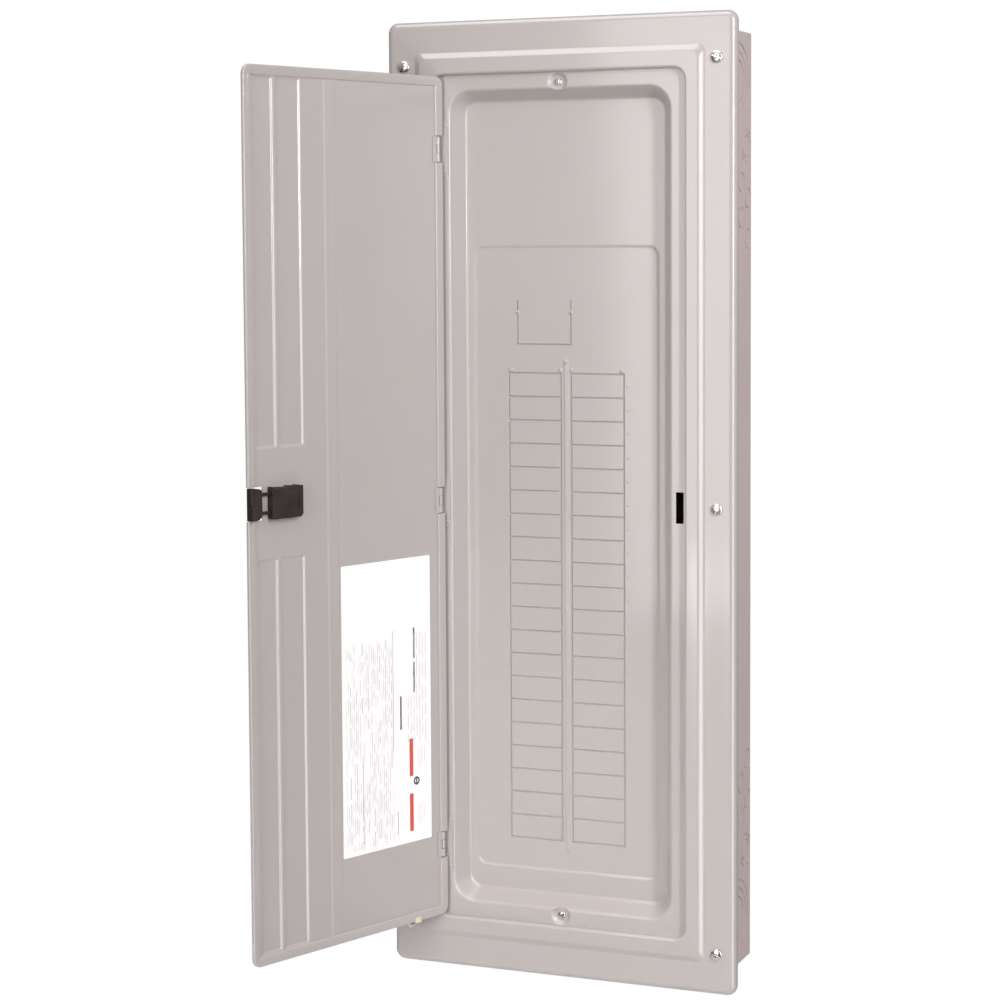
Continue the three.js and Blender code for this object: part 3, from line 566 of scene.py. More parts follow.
def paint(name, colour, roughness=0.36, gloss=0.75):
    """Baked enamel on sheet steel: faint mottling, orange peel and slow waves of the sheet."""
    material, tree, bsdf = new_material(name)
    coords = object_coords(tree)
    clouds = noise(tree, coords, 7.0, 4.0)
    tint(tree, bsdf, clouds, colour, (0.3, 0.988), (0.5, 1.0), (0.7, 1.01))
    grime = noise(tree, coords, 34.0, 5.0, 0.6)
    roughen(tree, bsdf, grime, 0.3, 0.7, roughness - 0.012, roughness + 0.016)
    peel = noise(tree, coords, 620.0, 2.0)
    waves = noise(tree, coords, 9.0, 1.0)
    bump(tree, bsdf, ((waves, 0.25, 0.0012), (peel, 0.10, 0.00012)))
    bsdf.inputs["Specular IOR Level"].default_value = 0.45
    bsdf.inputs["Coat Weight"].default_value = gloss
    bsdf.inputs["Coat Roughness"].default_value = 0.1
    return material


def plated(name, colour, roughness, scale=260.0):
    """Plated metal: fine brushing, patchy gloss and small stains."""
    material, tree, bsdf = new_material(name)
    coords = object_coords(tree)
    patches = noise(tree, coords, scale * 0.3, 4.0)
    tint(tree, bsdf, patches, colour, (0.3, 0.82), (0.5, 1.0), (0.72, 1.1))
    roughen(tree, bsdf, patches, 0.3, 0.7, roughness - 0.08, roughness + 0.1)
    brushed = noise(tree, coords, scale * 4, 2.0, 0.5, (1.0, 1.0, 0.08))
    bump(tree, bsdf, ((brushed, 0.2, 0.00008),))
    bsdf.inputs["Metallic"].default_value = 1.0
    return material


def spangle(name, colour):
    """Galvanised sheet: crystal spangle in colour and gloss."""
    material, tree, bsdf = new_material(name)
    coords = object_coords(tree)
    cells = tree.nodes.new("ShaderNodeTexVoronoi")
    cells.inputs["Scale"].default_value = 120.0
    tree.links.new(coords, cells.inputs["Vector"])
    tint(tree, bsdf, cells.outputs["Distance"], colour, (0.0, 1.12), (0.9, 0.8))
    roughen(tree, bsdf, cells.outputs["Distance"], 0.0, 0.9, 0.32, 0.55)
    fine = noise(tree, coords, 900.0, 2.0)
    bump(tree, bsdf, ((fine, 0.12, 0.0001),))
    bsdf.inputs["Metallic"].default_value = 1.0
    return material


def plastic(name, colour, roughness, grain=1400.0):
    """Moulded plastic: fine spark-eroded grain and a little flow mottling."""
    material, tree, bsdf = new_material(name)
    coords = object_coords(tree)
    flow = noise(tree, coords, 60.0, 4.0)
    tint(tree, bsdf, flow, colour, (0.3, 0.8), (0.7, 1.25))
    roughen(tree, bsdf, flow, 0.3, 0.7, roughness - 0.06, roughness + 0.08)
    grained = noise(tree, coords, grain, 3.0)
    bump(tree, bsdf, ((grained, 0.25, 0.00015),))
    return material


def paper(name, colour, roughness=0.55, painted_glow=0.0):
    """Coated label paper: faint fibres and slight lifting; the last argument sets a faint painted glow that makes
    the paper brighter than the lamps light it.
    """
    material, tree, bsdf = new_material(name)
    coords = object_coords(tree)
    fibres = noise(tree, coords, 800.0, 4.0, 0.7)
    tint(tree, bsdf, fibres, colour, (0.3, 0.97), (0.7, 1.0))
    roughen(tree, bsdf, fibres, 0.3, 0.7, roughness - 0.05, roughness + 0.08)
    lifting = noise(tree, coords, 30.0, 2.0)
    bump(tree, bsdf, ((lifting, 0.2, 0.0003), (fibres, 0.06, 0.00005)))
    # Painted glow: the paper gives off a little light of its own, so it reads brighter than the lamps make it.
    bsdf.inputs["Emission Color"].default_value = (0.97, 0.98, 1.0, 1)
    bsdf.inputs["Emission Strength"].default_value = painted_glow
    return material


GREY_PAINT = paint("grey_enamel", (0.535, 0.497, 0.484))
BOX_PAINT = paint("grey_enamel_box", (0.64, 0.545, 0.53), 0.5, 0.05)
ZINC = plated("zinc_plate", (0.66, 0.65, 0.63), 0.24)
GALVANISED = spangle("galvanised_sheet", (0.52, 0.53, 0.54))
ALUMINIUM = plated("tinned_aluminium", (0.72, 0.72, 0.72), 0.34, 180.0)
BLACK_NYLON = plastic("black_nylon", (0.017, 0.011, 0.009), 0.46)
DARK_THERMOSET = plastic("dark_thermoset", (0.055, 0.056, 0.06), 0.55, 900.0)
CREAM_NYLON = plastic("cream_nylon", (0.78, 0.70, 0.52), 0.45)
# The white paper and the grey ink carry a faint painted glow.
LABEL_WHITE = paper("label_white", (0.97, 0.97, 0.965), 0.55, 0.16)
LABEL_GREY = paper("label_grey_ink", (0.72, 0.69, 0.72), 0.55, 0.05)
LABEL_DARK = paper("label_dark_ink", (0.10, 0.09, 0.10))
LABEL_RED = paper("label_red_ink", (0.80, 0.11, 0.08))
SLOT_MATERIALS = {
    "grey_paint": GREY_PAINT,
    "zinc_steel": ZINC,
    "galvanised_steel": GALVANISED,
    "bus_aluminium": ALUMINIUM,
    "insulator_plastic": DARK_THERMOSET,
    "latch_plastic": BLACK_NYLON,
    "label_paper": LABEL_WHITE,
    "cream_plastic": CREAM_NYLON,
}


def dress_cad_nodes():
    """Gives every CAD node its slot's procedural material."""
    for part in frame["record"]["subparts"]:
        mesh = frame["nodes"][part["node"]].data
        mesh.materials.clear()
        mesh.materials.append(SLOT_MATERIALS[part["material_slot"]])


# ---------------------------------------------------------------- trim
def arc(cx, cy, rx, ry, start, end, steps):
    """Points of an elliptical arc; angles in degrees."""
    angles = [math.radians(start + (end - start) * i / steps) for i in range(steps + 1)]
    return [(cx + rx * math.cos(a), cy + ry * math.sin(a)) for a in angles]


def s_curve(x0, y0, x1, y1, steps=8):
    """An S-shaped step between two levels."""
    return [
        (x0 + (x1 - x0) * i / steps, y0 + (y1 - y0) * float(ramp(np.array(i / steps), 0.3)))
        for i in range(steps + 1)
    ]


def trim_holes():
    """Clearance holes for the trim screws, as one cutter."""
    cutters = []
    for row in ("top", "middle", "bottom"):
        for side in ("left", "right"):
            low, high = box_mm(f"trim_screw_{row}_{side}")
            centre = ((low.x + high.x) / 2, 0, (low.z + high.z) / 2)
            cutters.append(rod("cut", 2.6, WALL_Y - 20, WALL_Y + 5, "Y", centre, 20))
    return cutters


def build_trim():
    def outer_ring(inset, rise):
        corner = TRIM_R - inset if inset < ROLL + 1 else 3.0 + (inset - ROLL) * 0.15
        return ring(TRIM_HALF_W - inset, TRIM_HALF_H - inset, max(corner, 2.0), WALL_Y - rise)

    def open_ring(margin, rise):
        return ring(OPEN_HALF_W + margin, OPEN_HALF_H + margin, OPEN_R + margin, WALL_Y - rise)

    t = TRIM_T
    roll = arc(ROLL, BORDER_RISE - 7.4, ROLL, 7.4, 180, 90, 9)
    under = arc(ROLL, BORDER_RISE - 7.4, ROLL - t, 7.4 - t, 90, 180, 7)
    step = s_curve(STEP_START, BORDER_RISE, STEP_END, FIELD_RISE)
    step_under = s_curve(STEP_END + 0.6, FIELD_RISE - t, STEP_START + 0.6, BORDER_RISE - t, 5)
    rings = [outer_ring(0, 0)]
    rings += [outer_ring(inset, rise) for inset, rise in roll + step]
    lip = arc(OPEN_LIP, FIELD_RISE - OPEN_LIP, OPEN_LIP, OPEN_LIP, 90, 180, 7)
    rings += [open_ring(margin, rise) for margin, rise in lip]
    rings += [open_ring(0, OPEN_BACK_RISE), open_ring(t, OPEN_BACK_RISE), open_ring(t, FIELD_RISE - 2 * t)]
    rings += [open_ring(2 * t, FIELD_RISE - t)]
    rings += [outer_ring(inset, rise) for inset, rise in step_under + under]
    rings += [outer_ring(t, 0)]
    trim = loft("trim_shell", rings, closed=True)
    boolean(trim, trim_holes(), "DIFFERENCE")
    place(trim, "enclosure", GREY_PAINT, ["trim_cover"])


# ---------------------------------------------------------------- dead front
def dead_front_depth(x, z):
    """Depth of the dead front's front face behind its flange."""
    recess = inside(x, z, -RECESS_HALF_W, RECESS_HALF_W, -RECESS_HALF_H, RECESS_HALF_H, RECESS_R)
    depth = RECESS_DEPTH * ramp(recess / RECESS_DRAFT, 0.14)
    screw_z = middle_z("dead_front_screw_top")
    for end in (-1, 1):
        reach = DIMPLE_R + 1.5 - np.hypot(x, z - end * screw_z)
        depth = np.maximum(depth, DIMPLE_DEPTH * ramp(reach / 3.0, 0.3))
    panel = inside(x, z, -PANEL_HALF_W, PANEL_HALF_W, PANEL_BOTTOM, PANEL_TOP, PANEL_R)
    depth = depth + PANEL_DEPTH * ramp(panel / 1.6, 0.3)
    return depth + space_scores(x, z) + main_score(x, z) - bead(x, z) - row_dots(x, z)


def space_scores(x, z):
    """The scored outlines of the forty breaker spaces."""
    side = np.abs(x)
    on_column = (side > SPACE_INNER - SCORE_HALF) & (side < SPACE_OUTER + SCORE_HALF)
    on_rows = (z < FIRST_ROW_TOP + SCORE_HALF) & (z > LAST_ROW_BOTTOM - SCORE_HALF)
    row = (FIRST_ROW_TOP - z) / PITCH
    across = score((row - np.round(row)) * PITCH)
    upright = np.maximum(score(side - SPACE_INNER), score(side - SPACE_OUTER))
    return np.where(on_column & on_rows, np.maximum(across, upright), 0.0)


def main_score(x, z):
    """The U-shaped score of the main breaker's space."""
    on_foot = (x > MAIN_LEFT - SCORE_HALF) & (x < MAIN_RIGHT + SCORE_HALF)
    foot = np.where(on_foot, score(z - MAIN_BOTTOM), 0.0)
    on_legs = (z > MAIN_BOTTOM - SCORE_HALF) & (z < MAIN_TOP)
    legs = np.where(on_legs, np.maximum(score(x - MAIN_LEFT), score(x - MAIN_RIGHT)), 0.0)
    return np.maximum(foot, legs)


def bead(x, z):
    """The upright bead between the two columns, with round ends."""
    beyond = np.maximum(z - (FIRST_ROW_TOP + 12), 0) + np.maximum(LAST_ROW_BOTTOM - 10 - z, 0)
    return BEAD_RAISE * ramp((BEAD_HALF + 0.4 - np.hypot(x, beyond)) / 1.6, 0.35)


def pip(x, z, at_x, at_z, radius, height):
    """A low round pip."""
    return height * ramp((radius - np.hypot(x - at_x, z - at_z)) / 0.9, 0.3)


def row_dots(x, z):
    """Pips beside each space, at the ends of the row scores and at the corner tabs."""
    row = (FIRST_ROW_TOP - z) / PITCH - 0.5
    nearest = np.clip(np.round(row), 0, ROWS - 1)
    side = np.abs(x)
    height = pip(side, (row - nearest) * PITCH, DOT_X, 0.0, *DOT_PIP)
    boundary = np.clip(np.round(row + 0.5), 0, ROWS)
    tab_z = (row + 0.5 - boundary) * PITCH
    height = np.maximum(height, pip(side, tab_z, SPACE_OUTER + TAB_REACH, 0.0, *TAB_PIP))
    for at_x in TOP_PIP_XS:
        height = np.maximum(height, pip(side, z, at_x, FIRST_ROW_TOP + TOP_PIP_RISE, *TOP_PIP))
    height = np.maximum(height, pip(x, z, 0.0, FIRST_ROW_TOP + BEAD_PIP_RISE, *BEAD_PIP))
    for at_x, at_z in MAIN_PIPS:
        height = np.maximum(height, pip(x, z, at_x, at_z, *MAIN_PIP))
    return height


def build_dead_front():
    """The drawn sheet, on a grid that is fine wherever its surface bends."""
    score_xs = []
    for middle in (SPACE_INNER, SPACE_OUTER, -SPACE_INNER, -SPACE_OUTER, MAIN_LEFT, MAIN_RIGHT):
        score_xs += [middle - SCORE_HALF, middle, middle + SCORE_HALF]
    xs = grid_lines(
        [
            (-127, -98, 0.8), (98, 127, 0.8), (-BEAD_HALF - 0.6, BEAD_HALF + 0.6, 0.5),
            (-9.2, -2.6, 0.5), (2.6, 9.2, 0.5), (-72.4, -60.4, 0.55), (60.4, 72.4, 0.55),
            (MAIN_LEFT - 3.5, MAIN_LEFT + 3.5, 0.5), (-DIMPLE_R - 3.5, DIMPLE_R + 3.5, 0.9),
        ],
        [-FLANGE_HALF_W, FLANGE_HALF_W, SLOT[0], SLOT[1], -90, 90, *score_xs],
    )
    score_zs = []
    dot_zs = []
    for row in range(ROWS + 1):
        z = FIRST_ROW_TOP - row * PITCH
        score_zs += [z - SCORE_HALF, z, z + SCORE_HALF]
        if row < ROWS:
            dot_zs += [z - PITCH / 2 + offset for offset in (-1.9, -1.3, -0.9, -0.4, 0.0, 0.4, 0.9, 1.3, 1.9)]
    zs = grid_lines(
        [
            (-460, -388, 0.9), (409, 460, 0.9), (258, 276, 1.1),
            (LAST_ROW_BOTTOM - 13, LAST_ROW_BOTTOM - 8, 0.6),
            (FIRST_ROW_TOP + 1.2, FIRST_ROW_TOP + 6.7, 0.5), (FIRST_ROW_TOP + 9.6, FIRST_ROW_TOP + 16.6, 0.5),
            (199.6, 206.4, 0.5), (206.4, 215.4, 1.5),
            (MAIN_BOTTOM - SCORE_HALF, MAIN_BOTTOM + SCORE_HALF, SCORE_HALF),
        ],
        [-FLANGE_HALF_H, FLANGE_HALF_H, SLOT[2], SLOT[3], MAIN_TOP, MAIN_TOP + 0.4, *score_zs, *dot_zs],
    )
    sheet = pressed_sheet("dead_front_sheet", xs, zs, FRONT_CORNER_R, dead_front_depth, SHEET_T, hole=SLOT)
    sheet.data.transform(Matrix.Translation((0, FLANGE_Y, 0)))
    place(sheet, "enclosure", GREY_PAINT, ["dead_front"], sharp=28)


# ---------------------------------------------------------------- box
def arc_groove(radius, start, end, steps=40):
    """A curved bar for cutting part of a knockout's outline; angles in radians."""
    section = (
        (radius - GROOVE_WIDTH / 2, -GROOVE_DEPTH), (radius + GROOVE_WIDTH / 2, -GROOVE_DEPTH),
        (radius + GROOVE_WIDTH / 2, GROOVE_DEPTH), (radius - GROOVE_WIDTH / 2, GROOVE_DEPTH),
    )
    count = max(int(steps * (end - start) / (2 * math.pi)), 3)
    rings = []
    for i in range(count + 1):
        angle = start + (end - start) * i / count
        rings.append([(r * math.cos(angle), d, r * math.sin(angle)) for r, d in section])
    return rings


def knockout_cutter(name, radii, turn):
    """Broken circles that leave two tabs each, cut into a face at y = 0."""
    vertices, faces = [], []
    for level, radius in enumerate(radii):
        gap = TAB_WIDTH / radius
        for half in range(2):
            start = turn + level * 1.2 + half * math.pi + gap / 2
            rings = arc_groove(radius, start, start + math.pi - gap)
            base = len(vertices)
            vertices += [p for loop in rings for p in loop]
            for i in range(len(rings) - 1):
                for j in range(4):
                    k = (j + 1) % 4
                    a, b = base + i * 4, base + (i + 1) * 4
                    faces.append((a + j, a + k, b + k, b + j))
            last = base + (len(rings) - 1) * 4
            faces += [(base, base + 1, base + 2, base + 3), (last + 3, last + 2, last + 1, last)]
    return make_object(name, vertices, faces)


def box_knockouts():
    """All knockout outlines of the four walls, joined into one cutter."""
    places = []
    for side in (-1, 1):
        for end in (-1, 1):
            for offset, depth, radii in SIDE_KNOCKOUTS:
                places.append((radii, (side * BOX_HIGH.x, WALL_Y + depth, end * (BOX_HIGH.z - offset)), "Z"))
    for end in (-1, 1):
        for x, depth, radii in END_KNOCKOUTS:
            places.append((radii, (x, WALL_Y + depth, end * BOX_HIGH.z), "X"))
    cutters = []
    for count, (radii, place_at, axis) in enumerate(places):
        cutter = knockout_cutter("cut", radii, 0.5 + count * 0.7)
        cutter.data.transform(Matrix.Translation(place_at) @ Matrix.Rotation(math.pi / 2, 4, axis))
        cutters.append(cutter)
    return join_meshes("knockouts", cutters)


def join_meshes(name, objects):
    """One object from several that don't touch."""
    bm = bmesh.new()
    for obj in objects:
        bm.from_mesh(obj.data)
        bpy.data.objects.remove(obj)
    mesh = bpy.data.meshes.new(name)
    bm.to_mesh(mesh)
    bm.free()
    joined = bpy.data.objects.new(name, mesh)
    bpy.context.scene.collection.objects.link(joined)
    return joined


def build_box():
    """The folded box, open at the front, with a lip, knockouts and nail holes."""
    half_w, half_h = BOX_HIGH.x, BOX_HIGH.z
    t = BOX_T

    def at(inset, y, radius=2.0):
        return ring(half_w - inset, half_h - inset, max(radius - inset, 0.4), y, steps=5)

    rings = [
        at(1.5, 0.0), at(0.45, -0.45), at(0.0, -1.5), at(0.0, WALL_Y + 1.5), at(0.45, WALL_Y + 0.45),
        at(1.5, WALL_Y), at(BOX_LIP, WALL_Y), at(BOX_LIP, WALL_Y + t), at(t, WALL_Y + t), at(t, -t),
    ]
    shell = loft("box_shell", rings)
    nail_holes = [rod("cut", NAIL_HOLE_R, -5, 5, "Y", (x, 0, z), 24) for x, z in NAIL_HOLES]
    boolean(shell, [box_knockouts(), *nail_holes], "DIFFERENCE")
    place(shell, "enclosure", BOX_PAINT, ["enclosure_box"])


# ---------------------------------------------------------------- screws
def screw_mesh(head_r, head_h, shank_r, length):
    """A pan-head screw with a combination recess; the head rests at y = 0."""
    dome = arc(0, -head_h * 0.42, head_r, head_h * 0.58, -90, 0, 8)
    profile = [(max(r, 0.02), y) for r, y in dome]
    profile += [(head_r, 0.0), (shank_r, 0.0)]
    turns = int((length - 2) / 1.1)
    for i in range(turns):
        y = 1.0 + i * 1.1
        profile += [(shank_r * 0.86, y), (shank_r, y + 0.55)]
    profile += [(shank_r * 0.3, length), (0.02, length)]
    screw = turned("screw", profile, 28, "Y")
    slot_cut = slab("cut", -head_r * 1.2, head_r * 1.2, -head_h - 1, -head_h + 1.0, -0.55, 0.55)
    cross_a = slab("cut", -2.5, 2.5, -head_h - 1, -head_h + 1.9, -0.6, 0.6)
    cross_b = slab("cut", -0.6, 0.6, -head_h - 1, -head_h + 1.9, -2.5, 2.5)
    return boolean(screw, [slot_cut, cross_a, cross_b], "DIFFERENCE")


def build_screws():
    """A finer screw in place of each CAD screw, turned as a driver would leave it."""
    names = [name for name in frame["nodes"] if "screw" in name and "lug" not in name]
    for count, name in enumerate(sorted(names)):
        low, high = box_mm(name)
        radius = (high.x - low.x) / 2
        head_h = 3.2 if "trim" in name else 2.4 if "bus" in name else 2.6
        screw = screw_mesh(radius, head_h, 2.1, high.y - low.y - head_h)
        screw.name = f"{name}_fine"
        centre = Vector(((low.x + high.x) / 2, low.y + head_h, (low.z + high.z) / 2))
        turn = Matrix.Rotation(math.radians(35 + 47 * count), 4, "Y")
        screw.data.transform(Matrix.Translation(centre) @ turn)
        place(screw, "enclosure", ZINC, [name])


# ---------------------------------------------------------------- door
def door_skin(x, z):
    """Height of the door's outer face: ribs pressed outwards, one broad bead pressed inwards."""
    edge = DOOR_X1 - x
    y = np.full_like(x, SKIN_Y)
    for near, far in RIBS:
        for z0, z1 in RIB_ENDS:
            y = y - RIB_RAISE * ramp(inside(edge, z, near, far, z0, z1, 2.5) / 2.2, 0.2)
    across = np.minimum(edge - CHANNEL[0], CHANNEL[1] - edge)
    ends = DOOR_HALF_H - HEM - np.abs(z)
    return y + CHANNEL_DEPTH * ramp(np.minimum(across / 3.0, ends / 3.0), 0.25)


def build_door():
    """The pressed door with its hem, cut out for the hinges, the latch and the bumper."""
    rib_xs = []
    for edge in (*RIBS[0], *RIBS[1], *CHANNEL):
        middle = DOOR_X1 - edge
        rib_xs.append((middle - 3.6, middle + 3.6, 0.8))
    xs = grid_lines(
        [(DOOR_X0 + 0.8, DOOR_X0 + 10, 1.5), (DOOR_X1 - 10, DOOR_X1 - 0.8, 1.5), *rib_xs],
    )
    rib_zs = [(z - 3.5, z + 3.5, 0.6) for ends in RIB_ENDS for z in ends]
    rib_zs += [(-DOOR_HALF_H + HEM - 1, -DOOR_HALF_H + HEM + 4, 0.8)]
    rib_zs += [(DOOR_HALF_H - HEM - 4, DOOR_HALF_H - HEM + 1, 0.8)]
    zs = grid_lines(
        [(-DOOR_HALF_H + 0.8, -DOOR_HALF_H + 10, 1.5), (DOOR_HALF_H - 10, DOOR_HALF_H - 0.8, 1.5), *rib_zs],
    )
    t = SHEET_T
    rim = [(0.35, SKIN_Y + 0.1), (0.68, SKIN_Y + 0.4), (0.8, SKIN_Y + 0.9), (0.8, RIM_Y - 1.5)]
    rim += [(0.6, RIM_Y - 0.75), (0.05, RIM_Y - 0.2), (-0.7, RIM_Y), (-4.5, RIM_Y - 0.35)]
    rim += [(-8.2, RIM_Y - 0.9), (-9.0, RIM_Y - 1.3), (-9.6, RIM_Y - 2.0), (-9.8, SKIN_Y + t + 0.35)]
    rim += [(-9.4, SKIN_Y + t + 0.1), (-0.6, SKIN_Y + t + 0.1)]
    door = pressed_sheet("door_panel", xs, zs, DOOR_R, door_skin, t, rim)
    cutters = []
    for row in HINGE_ROWS:
        z = middle_z(f"hinge_pin_{row}")
        low, high = z - LEAF_NOTCH_HALF, z + LEAF_NOTCH_HALF
        cutters.append(slab("cut", DOOR_X0 - 1, DOOR_LEAF_X[0] - 0.2, SKIN_Y - 2, RIM_Y + 1, low, high))
        cutters.append(slab("cut", DOOR_X0 - 1, DOOR_LEAF_X[1] + 0.3, SKIN_Y + t + 0.06, RIM_Y + 1, low, high))
    low, high = LATCH_Z - LATCH_NOTCH_HALF, LATCH_Z + LATCH_NOTCH_HALF
    cutters.append(slab("cut", DOOR_X1 - LATCH_NOTCH_W, DOOR_X1 + 1, SKIN_Y - 2, RIM_Y + 1, low, high))
    low, high = -DOOR_HALF_H - 1, -DOOR_HALF_H + 1.9
    cutters.append(slab("cut", BUMPER_X[0] - 0.3, BUMPER_X[1] + 0.3, 0.9, 4.9, low, high))
    boolean(door, cutters, "DIFFERENCE")
    place(door, "door", GREY_PAINT, ["door"], DOOR_PLACE, sharp=32)


def build_hinges():
    """Three hinges: a trim leaf with one knuckle, a pin, and a door leaf with two knuckles."""
    for row in HINGE_ROWS:
        z = middle_z(f"hinge_pin_{row}")
        lift = Matrix.Translation(HINGE) @ Matrix.Translation((0, 0, z * MM))
        door_lift = DOOR_PLACE @ Matrix.Translation((0, 0, z * MM))
        place(trim_leaf(row), "enclosure", GREY_PAINT, [f"hinge_trim_leaf_{row}"], lift)
        pin = turned(f"pin_{row}", PIN_SHAPE, 20, "Z")
        place(pin, "enclosure", ZINC, [f"hinge_pin_{row}"], lift)
        place(door_leaf(row), "door", GREY_PAINT, [f"hinge_door_leaf_{row}"], door_lift)


def knuckle(z0, z1):
    return rod("barrel", KNUCKLE_R, z0, z1, "Z", (0, 0, 0), 32, 0.35)


def pin_bore():
    return rod("bore", KNUCKLE_BORE_R, -20, 20, "Z", (0, 0, 0), 24)


def trim_leaf(row):
    """An L-shaped leaf behind the flange, with two rivets and an arm to the middle knuckle."""
    left, right = TRIM_LEAF_X
    front, back = TRIM_LEAF_Y
    leaf = bevel(slab("leaf", left, left + TRIM_LEAF_T, front, back, -TRIM_LEAF_HALF_H, TRIM_LEAF_HALF_H), 0.2)
    flat = bevel(slab("flat", left, right, back - TRIM_LEAF_T, back, -TRIM_LEAF_HALF_H, TRIM_LEAF_HALF_H), 0.2)
    arm = slab("arm", left + 0.1, -1.0, 0.2, front + 0.3, -TRIM_KNUCKLE_HALF, TRIM_KNUCKLE_HALF)
    rivets = []
    for side in (-1, 1):
        rivet = turned("rivet", RIVET_DOME, 20, "Y")
        rivet.data.transform(Matrix.Translation((RIVET_X, 0, side * RIVET_Z)))
        rivets.append(rivet)
    barrel = knuckle(-TRIM_KNUCKLE_HALF, TRIM_KNUCKLE_HALF)
    boolean(leaf, [flat, arm, barrel, *rivets], "UNION")
    boolean(leaf, [pin_bore()], "DIFFERENCE")
    leaf.name = f"trim_hinge_{row}"
    return leaf


def door_leaf(row):
    """A flat leaf inside the door's hem, with a knuckle near each end."""
    y0, y1 = DOOR_LEAF_Y
    plate = bevel(slab("plate", *DOOR_LEAF_X, y0, y1, -DOOR_LEAF_HALF_H, DOOR_LEAF_HALF_H), 0.3)
    parts = []
    for side in (-1, 1):
        z0, z1 = sorted(side * z for z in DOOR_KNUCKLE)
        parts += [slab("arm", 0.5, DOOR_LEAF_X[0] + 0.6, y0, y1, z0, z1), knuckle(z0, z1)]
    boolean(plate, parts, "UNION")
    boolean(plate, [pin_bore()], "DIFFERENCE")
    plate.name = f"door_hinge_{row}"
    return plate


def from_edge(edge):
    """Door x of a distance from the door's free edge."""
    return DOOR_X1 - edge


def build_latch():
    """The latch's fixed housing and the slide that carries its grip, hook and prongs."""
    build_latch_housing()
    build_latch_slide()


def build_latch_housing():
    half = LATCH_HALF_H
    top = [
        (27.5, half), (31.0, half), (31.6, half - 1.6), (36.5, half - 1.6), (37.2, half - 0.7),
        (41.5, half - 0.7), (42.2, half - 1.3), (48.0, half - 1.3), (49.5, half), (55.0, half),
        (55.6, half - 0.8), (59.5, half - 0.8), (60.1, half), (64.0, half), (64.6, half - 0.7),
        (69.0, half - 0.7),
    ]
    outline = [(from_edge(e), z) for e, z in top]
    outline += [(from_edge(69.0), -half + 3), (from_edge(66.0), -half), (from_edge(29.0), -half)]
    outline += [(from_edge(27.5), -half + 1.5)]
    housing = extruded("latch_block", outline, 1.1, 9.2)
    bevel(housing, 0.5, 2)
    ledge = bevel(slab("ledge", from_edge(66), from_edge(45), 8.8, 9.6, -11, 11), 0.35, 2)
    boolean(housing, [ledge], "UNION")
    pockets = [
        slab("cut", from_edge(39), from_edge(26), 1.25, 5, side * PRONG_Z - 2, side * PRONG_Z + 2)
        for side in (-1, 1)
    ]
    window = slab("cut", from_edge(63), from_edge(48), 8.9, 11, -7, 7)
    boolean(housing, [*pockets, window], "DIFFERENCE")
    place(housing, "door", BLACK_NYLON, ["latch_housing"], LATCH_PLACE)


def build_latch_slide():
    half = LATCH_HALF_H
    outline = [
        (from_edge(1.0), -half), (from_edge(1.0), half), (from_edge(7.0), half), (from_edge(9.0), half - 0.9),
        (from_edge(13.0), half - 0.9), (from_edge(15.4), half - 2.6), (from_edge(16.0), half - 5.0),
        (from_edge(16.0), -half + 5.5), (from_edge(14.8), -half + 2.6), (from_edge(12.0), -half + 0.7),
        (from_edge(9.0), -half),
    ]
    handle = extruded("latch_grip", outline, SKIN_Y, 6.6)
    bevel(handle, 0.5, 2)
    thumb = bevel(slab("cut", from_edge(13), from_edge(4), SKIN_Y - 2, 3.4, -13.4, 13.4), 0.8, 3)
    boolean(handle, [thumb], "DIFFERENCE")
    parts = [
        slab("leg", from_edge(4.7), from_edge(2.7), 6, HOOK_BACK_Y, *HOOK_Z),
        slab("nose", from_edge(3.5), from_edge(-1.2), 9.1, HOOK_BACK_Y, *HOOK_Z),
    ]
    for side in (-1, 1):
        low, high = side * PRONG_Z - 1.6, side * PRONG_Z + 1.6
        parts.append(slab("prong", from_edge(34), from_edge(15), 1.6, 4.6, low, high))
    for i in range(4):
        z = half - 2.6 - i * 1.7
        parts.append(bevel(slab("grip", from_edge(13), from_edge(2), 6.3, 7.1, z - 0.4, z + 0.4), 0.2, 2))
    boolean(handle, parts, "UNION")
    place(handle, "latch", BLACK_NYLON, ["latch_slide"], LATCH_PLACE)


def build_bumper():
    """A soft pad clipped over the door's bottom edge."""
    bumper = bevel(slab("bumper", *BUMPER_X, 1.2, 4.6, -DOOR_HALF_H - BUMPER_HANG, -DOOR_HALF_H + 5), 0.6, 3)
    bumper.name = "bumper_pad"
    place(bumper, "door", CREAM_NYLON, ["door_bumper"], DOOR_PLACE)


# ---------------------------------------------------------------- label
def label_bars():
    """Generic print: (x from the free edge, z from the label's top, length down, width, ink)."""
    rng = np.random.default_rng(7)
    bars = []
    for column in range(25):
        x = 5.5 + column * 2.85
        z = 84.0 + (column % 4) * 4
        while z < 300:
            length = float(rng.uniform(6, 26))
            if rng.random() > 0.24:
                bars.append((x, z, min(length, 304 - z), 0.7 + 0.35 * (column % 3), "grey"))
            z += length + float(rng.uniform(3, 9))
    for column in range(7):
        x = 96.0 + column * 4.4
        z = 82.0 if column > 1 else 150.0
        while z < 198:
            length = float(rng.uniform(8, 30))
            bars.append((x, z, min(length, 200 - z), 1.1, "grey"))
            z += length + float(rng.uniform(3, 8))
    for x in (112.0, 116.0, 120.0):
        for z in (206.0, 268.0):
            bars.append((x, z, 26.0 - (x - 112), 0.8, "grey"))
    bars += [(104.6, 76, 33, 2.2, "dark"), (104.6, 113, 33, 2.2, "dark"), (84.5, 148, 36, 2.2, "dark")]
    bars += [(74.0, 76, 130, 0.5, "dark"), (29.5, 214, 84, 0.5, "dark"), (80.0, 272, 26, 0.6, "dark")]
    bars += [(98.0, 196, 41, 5.6, "red"), (98.0, 256, 41, 5.6, "red")]
    return bars


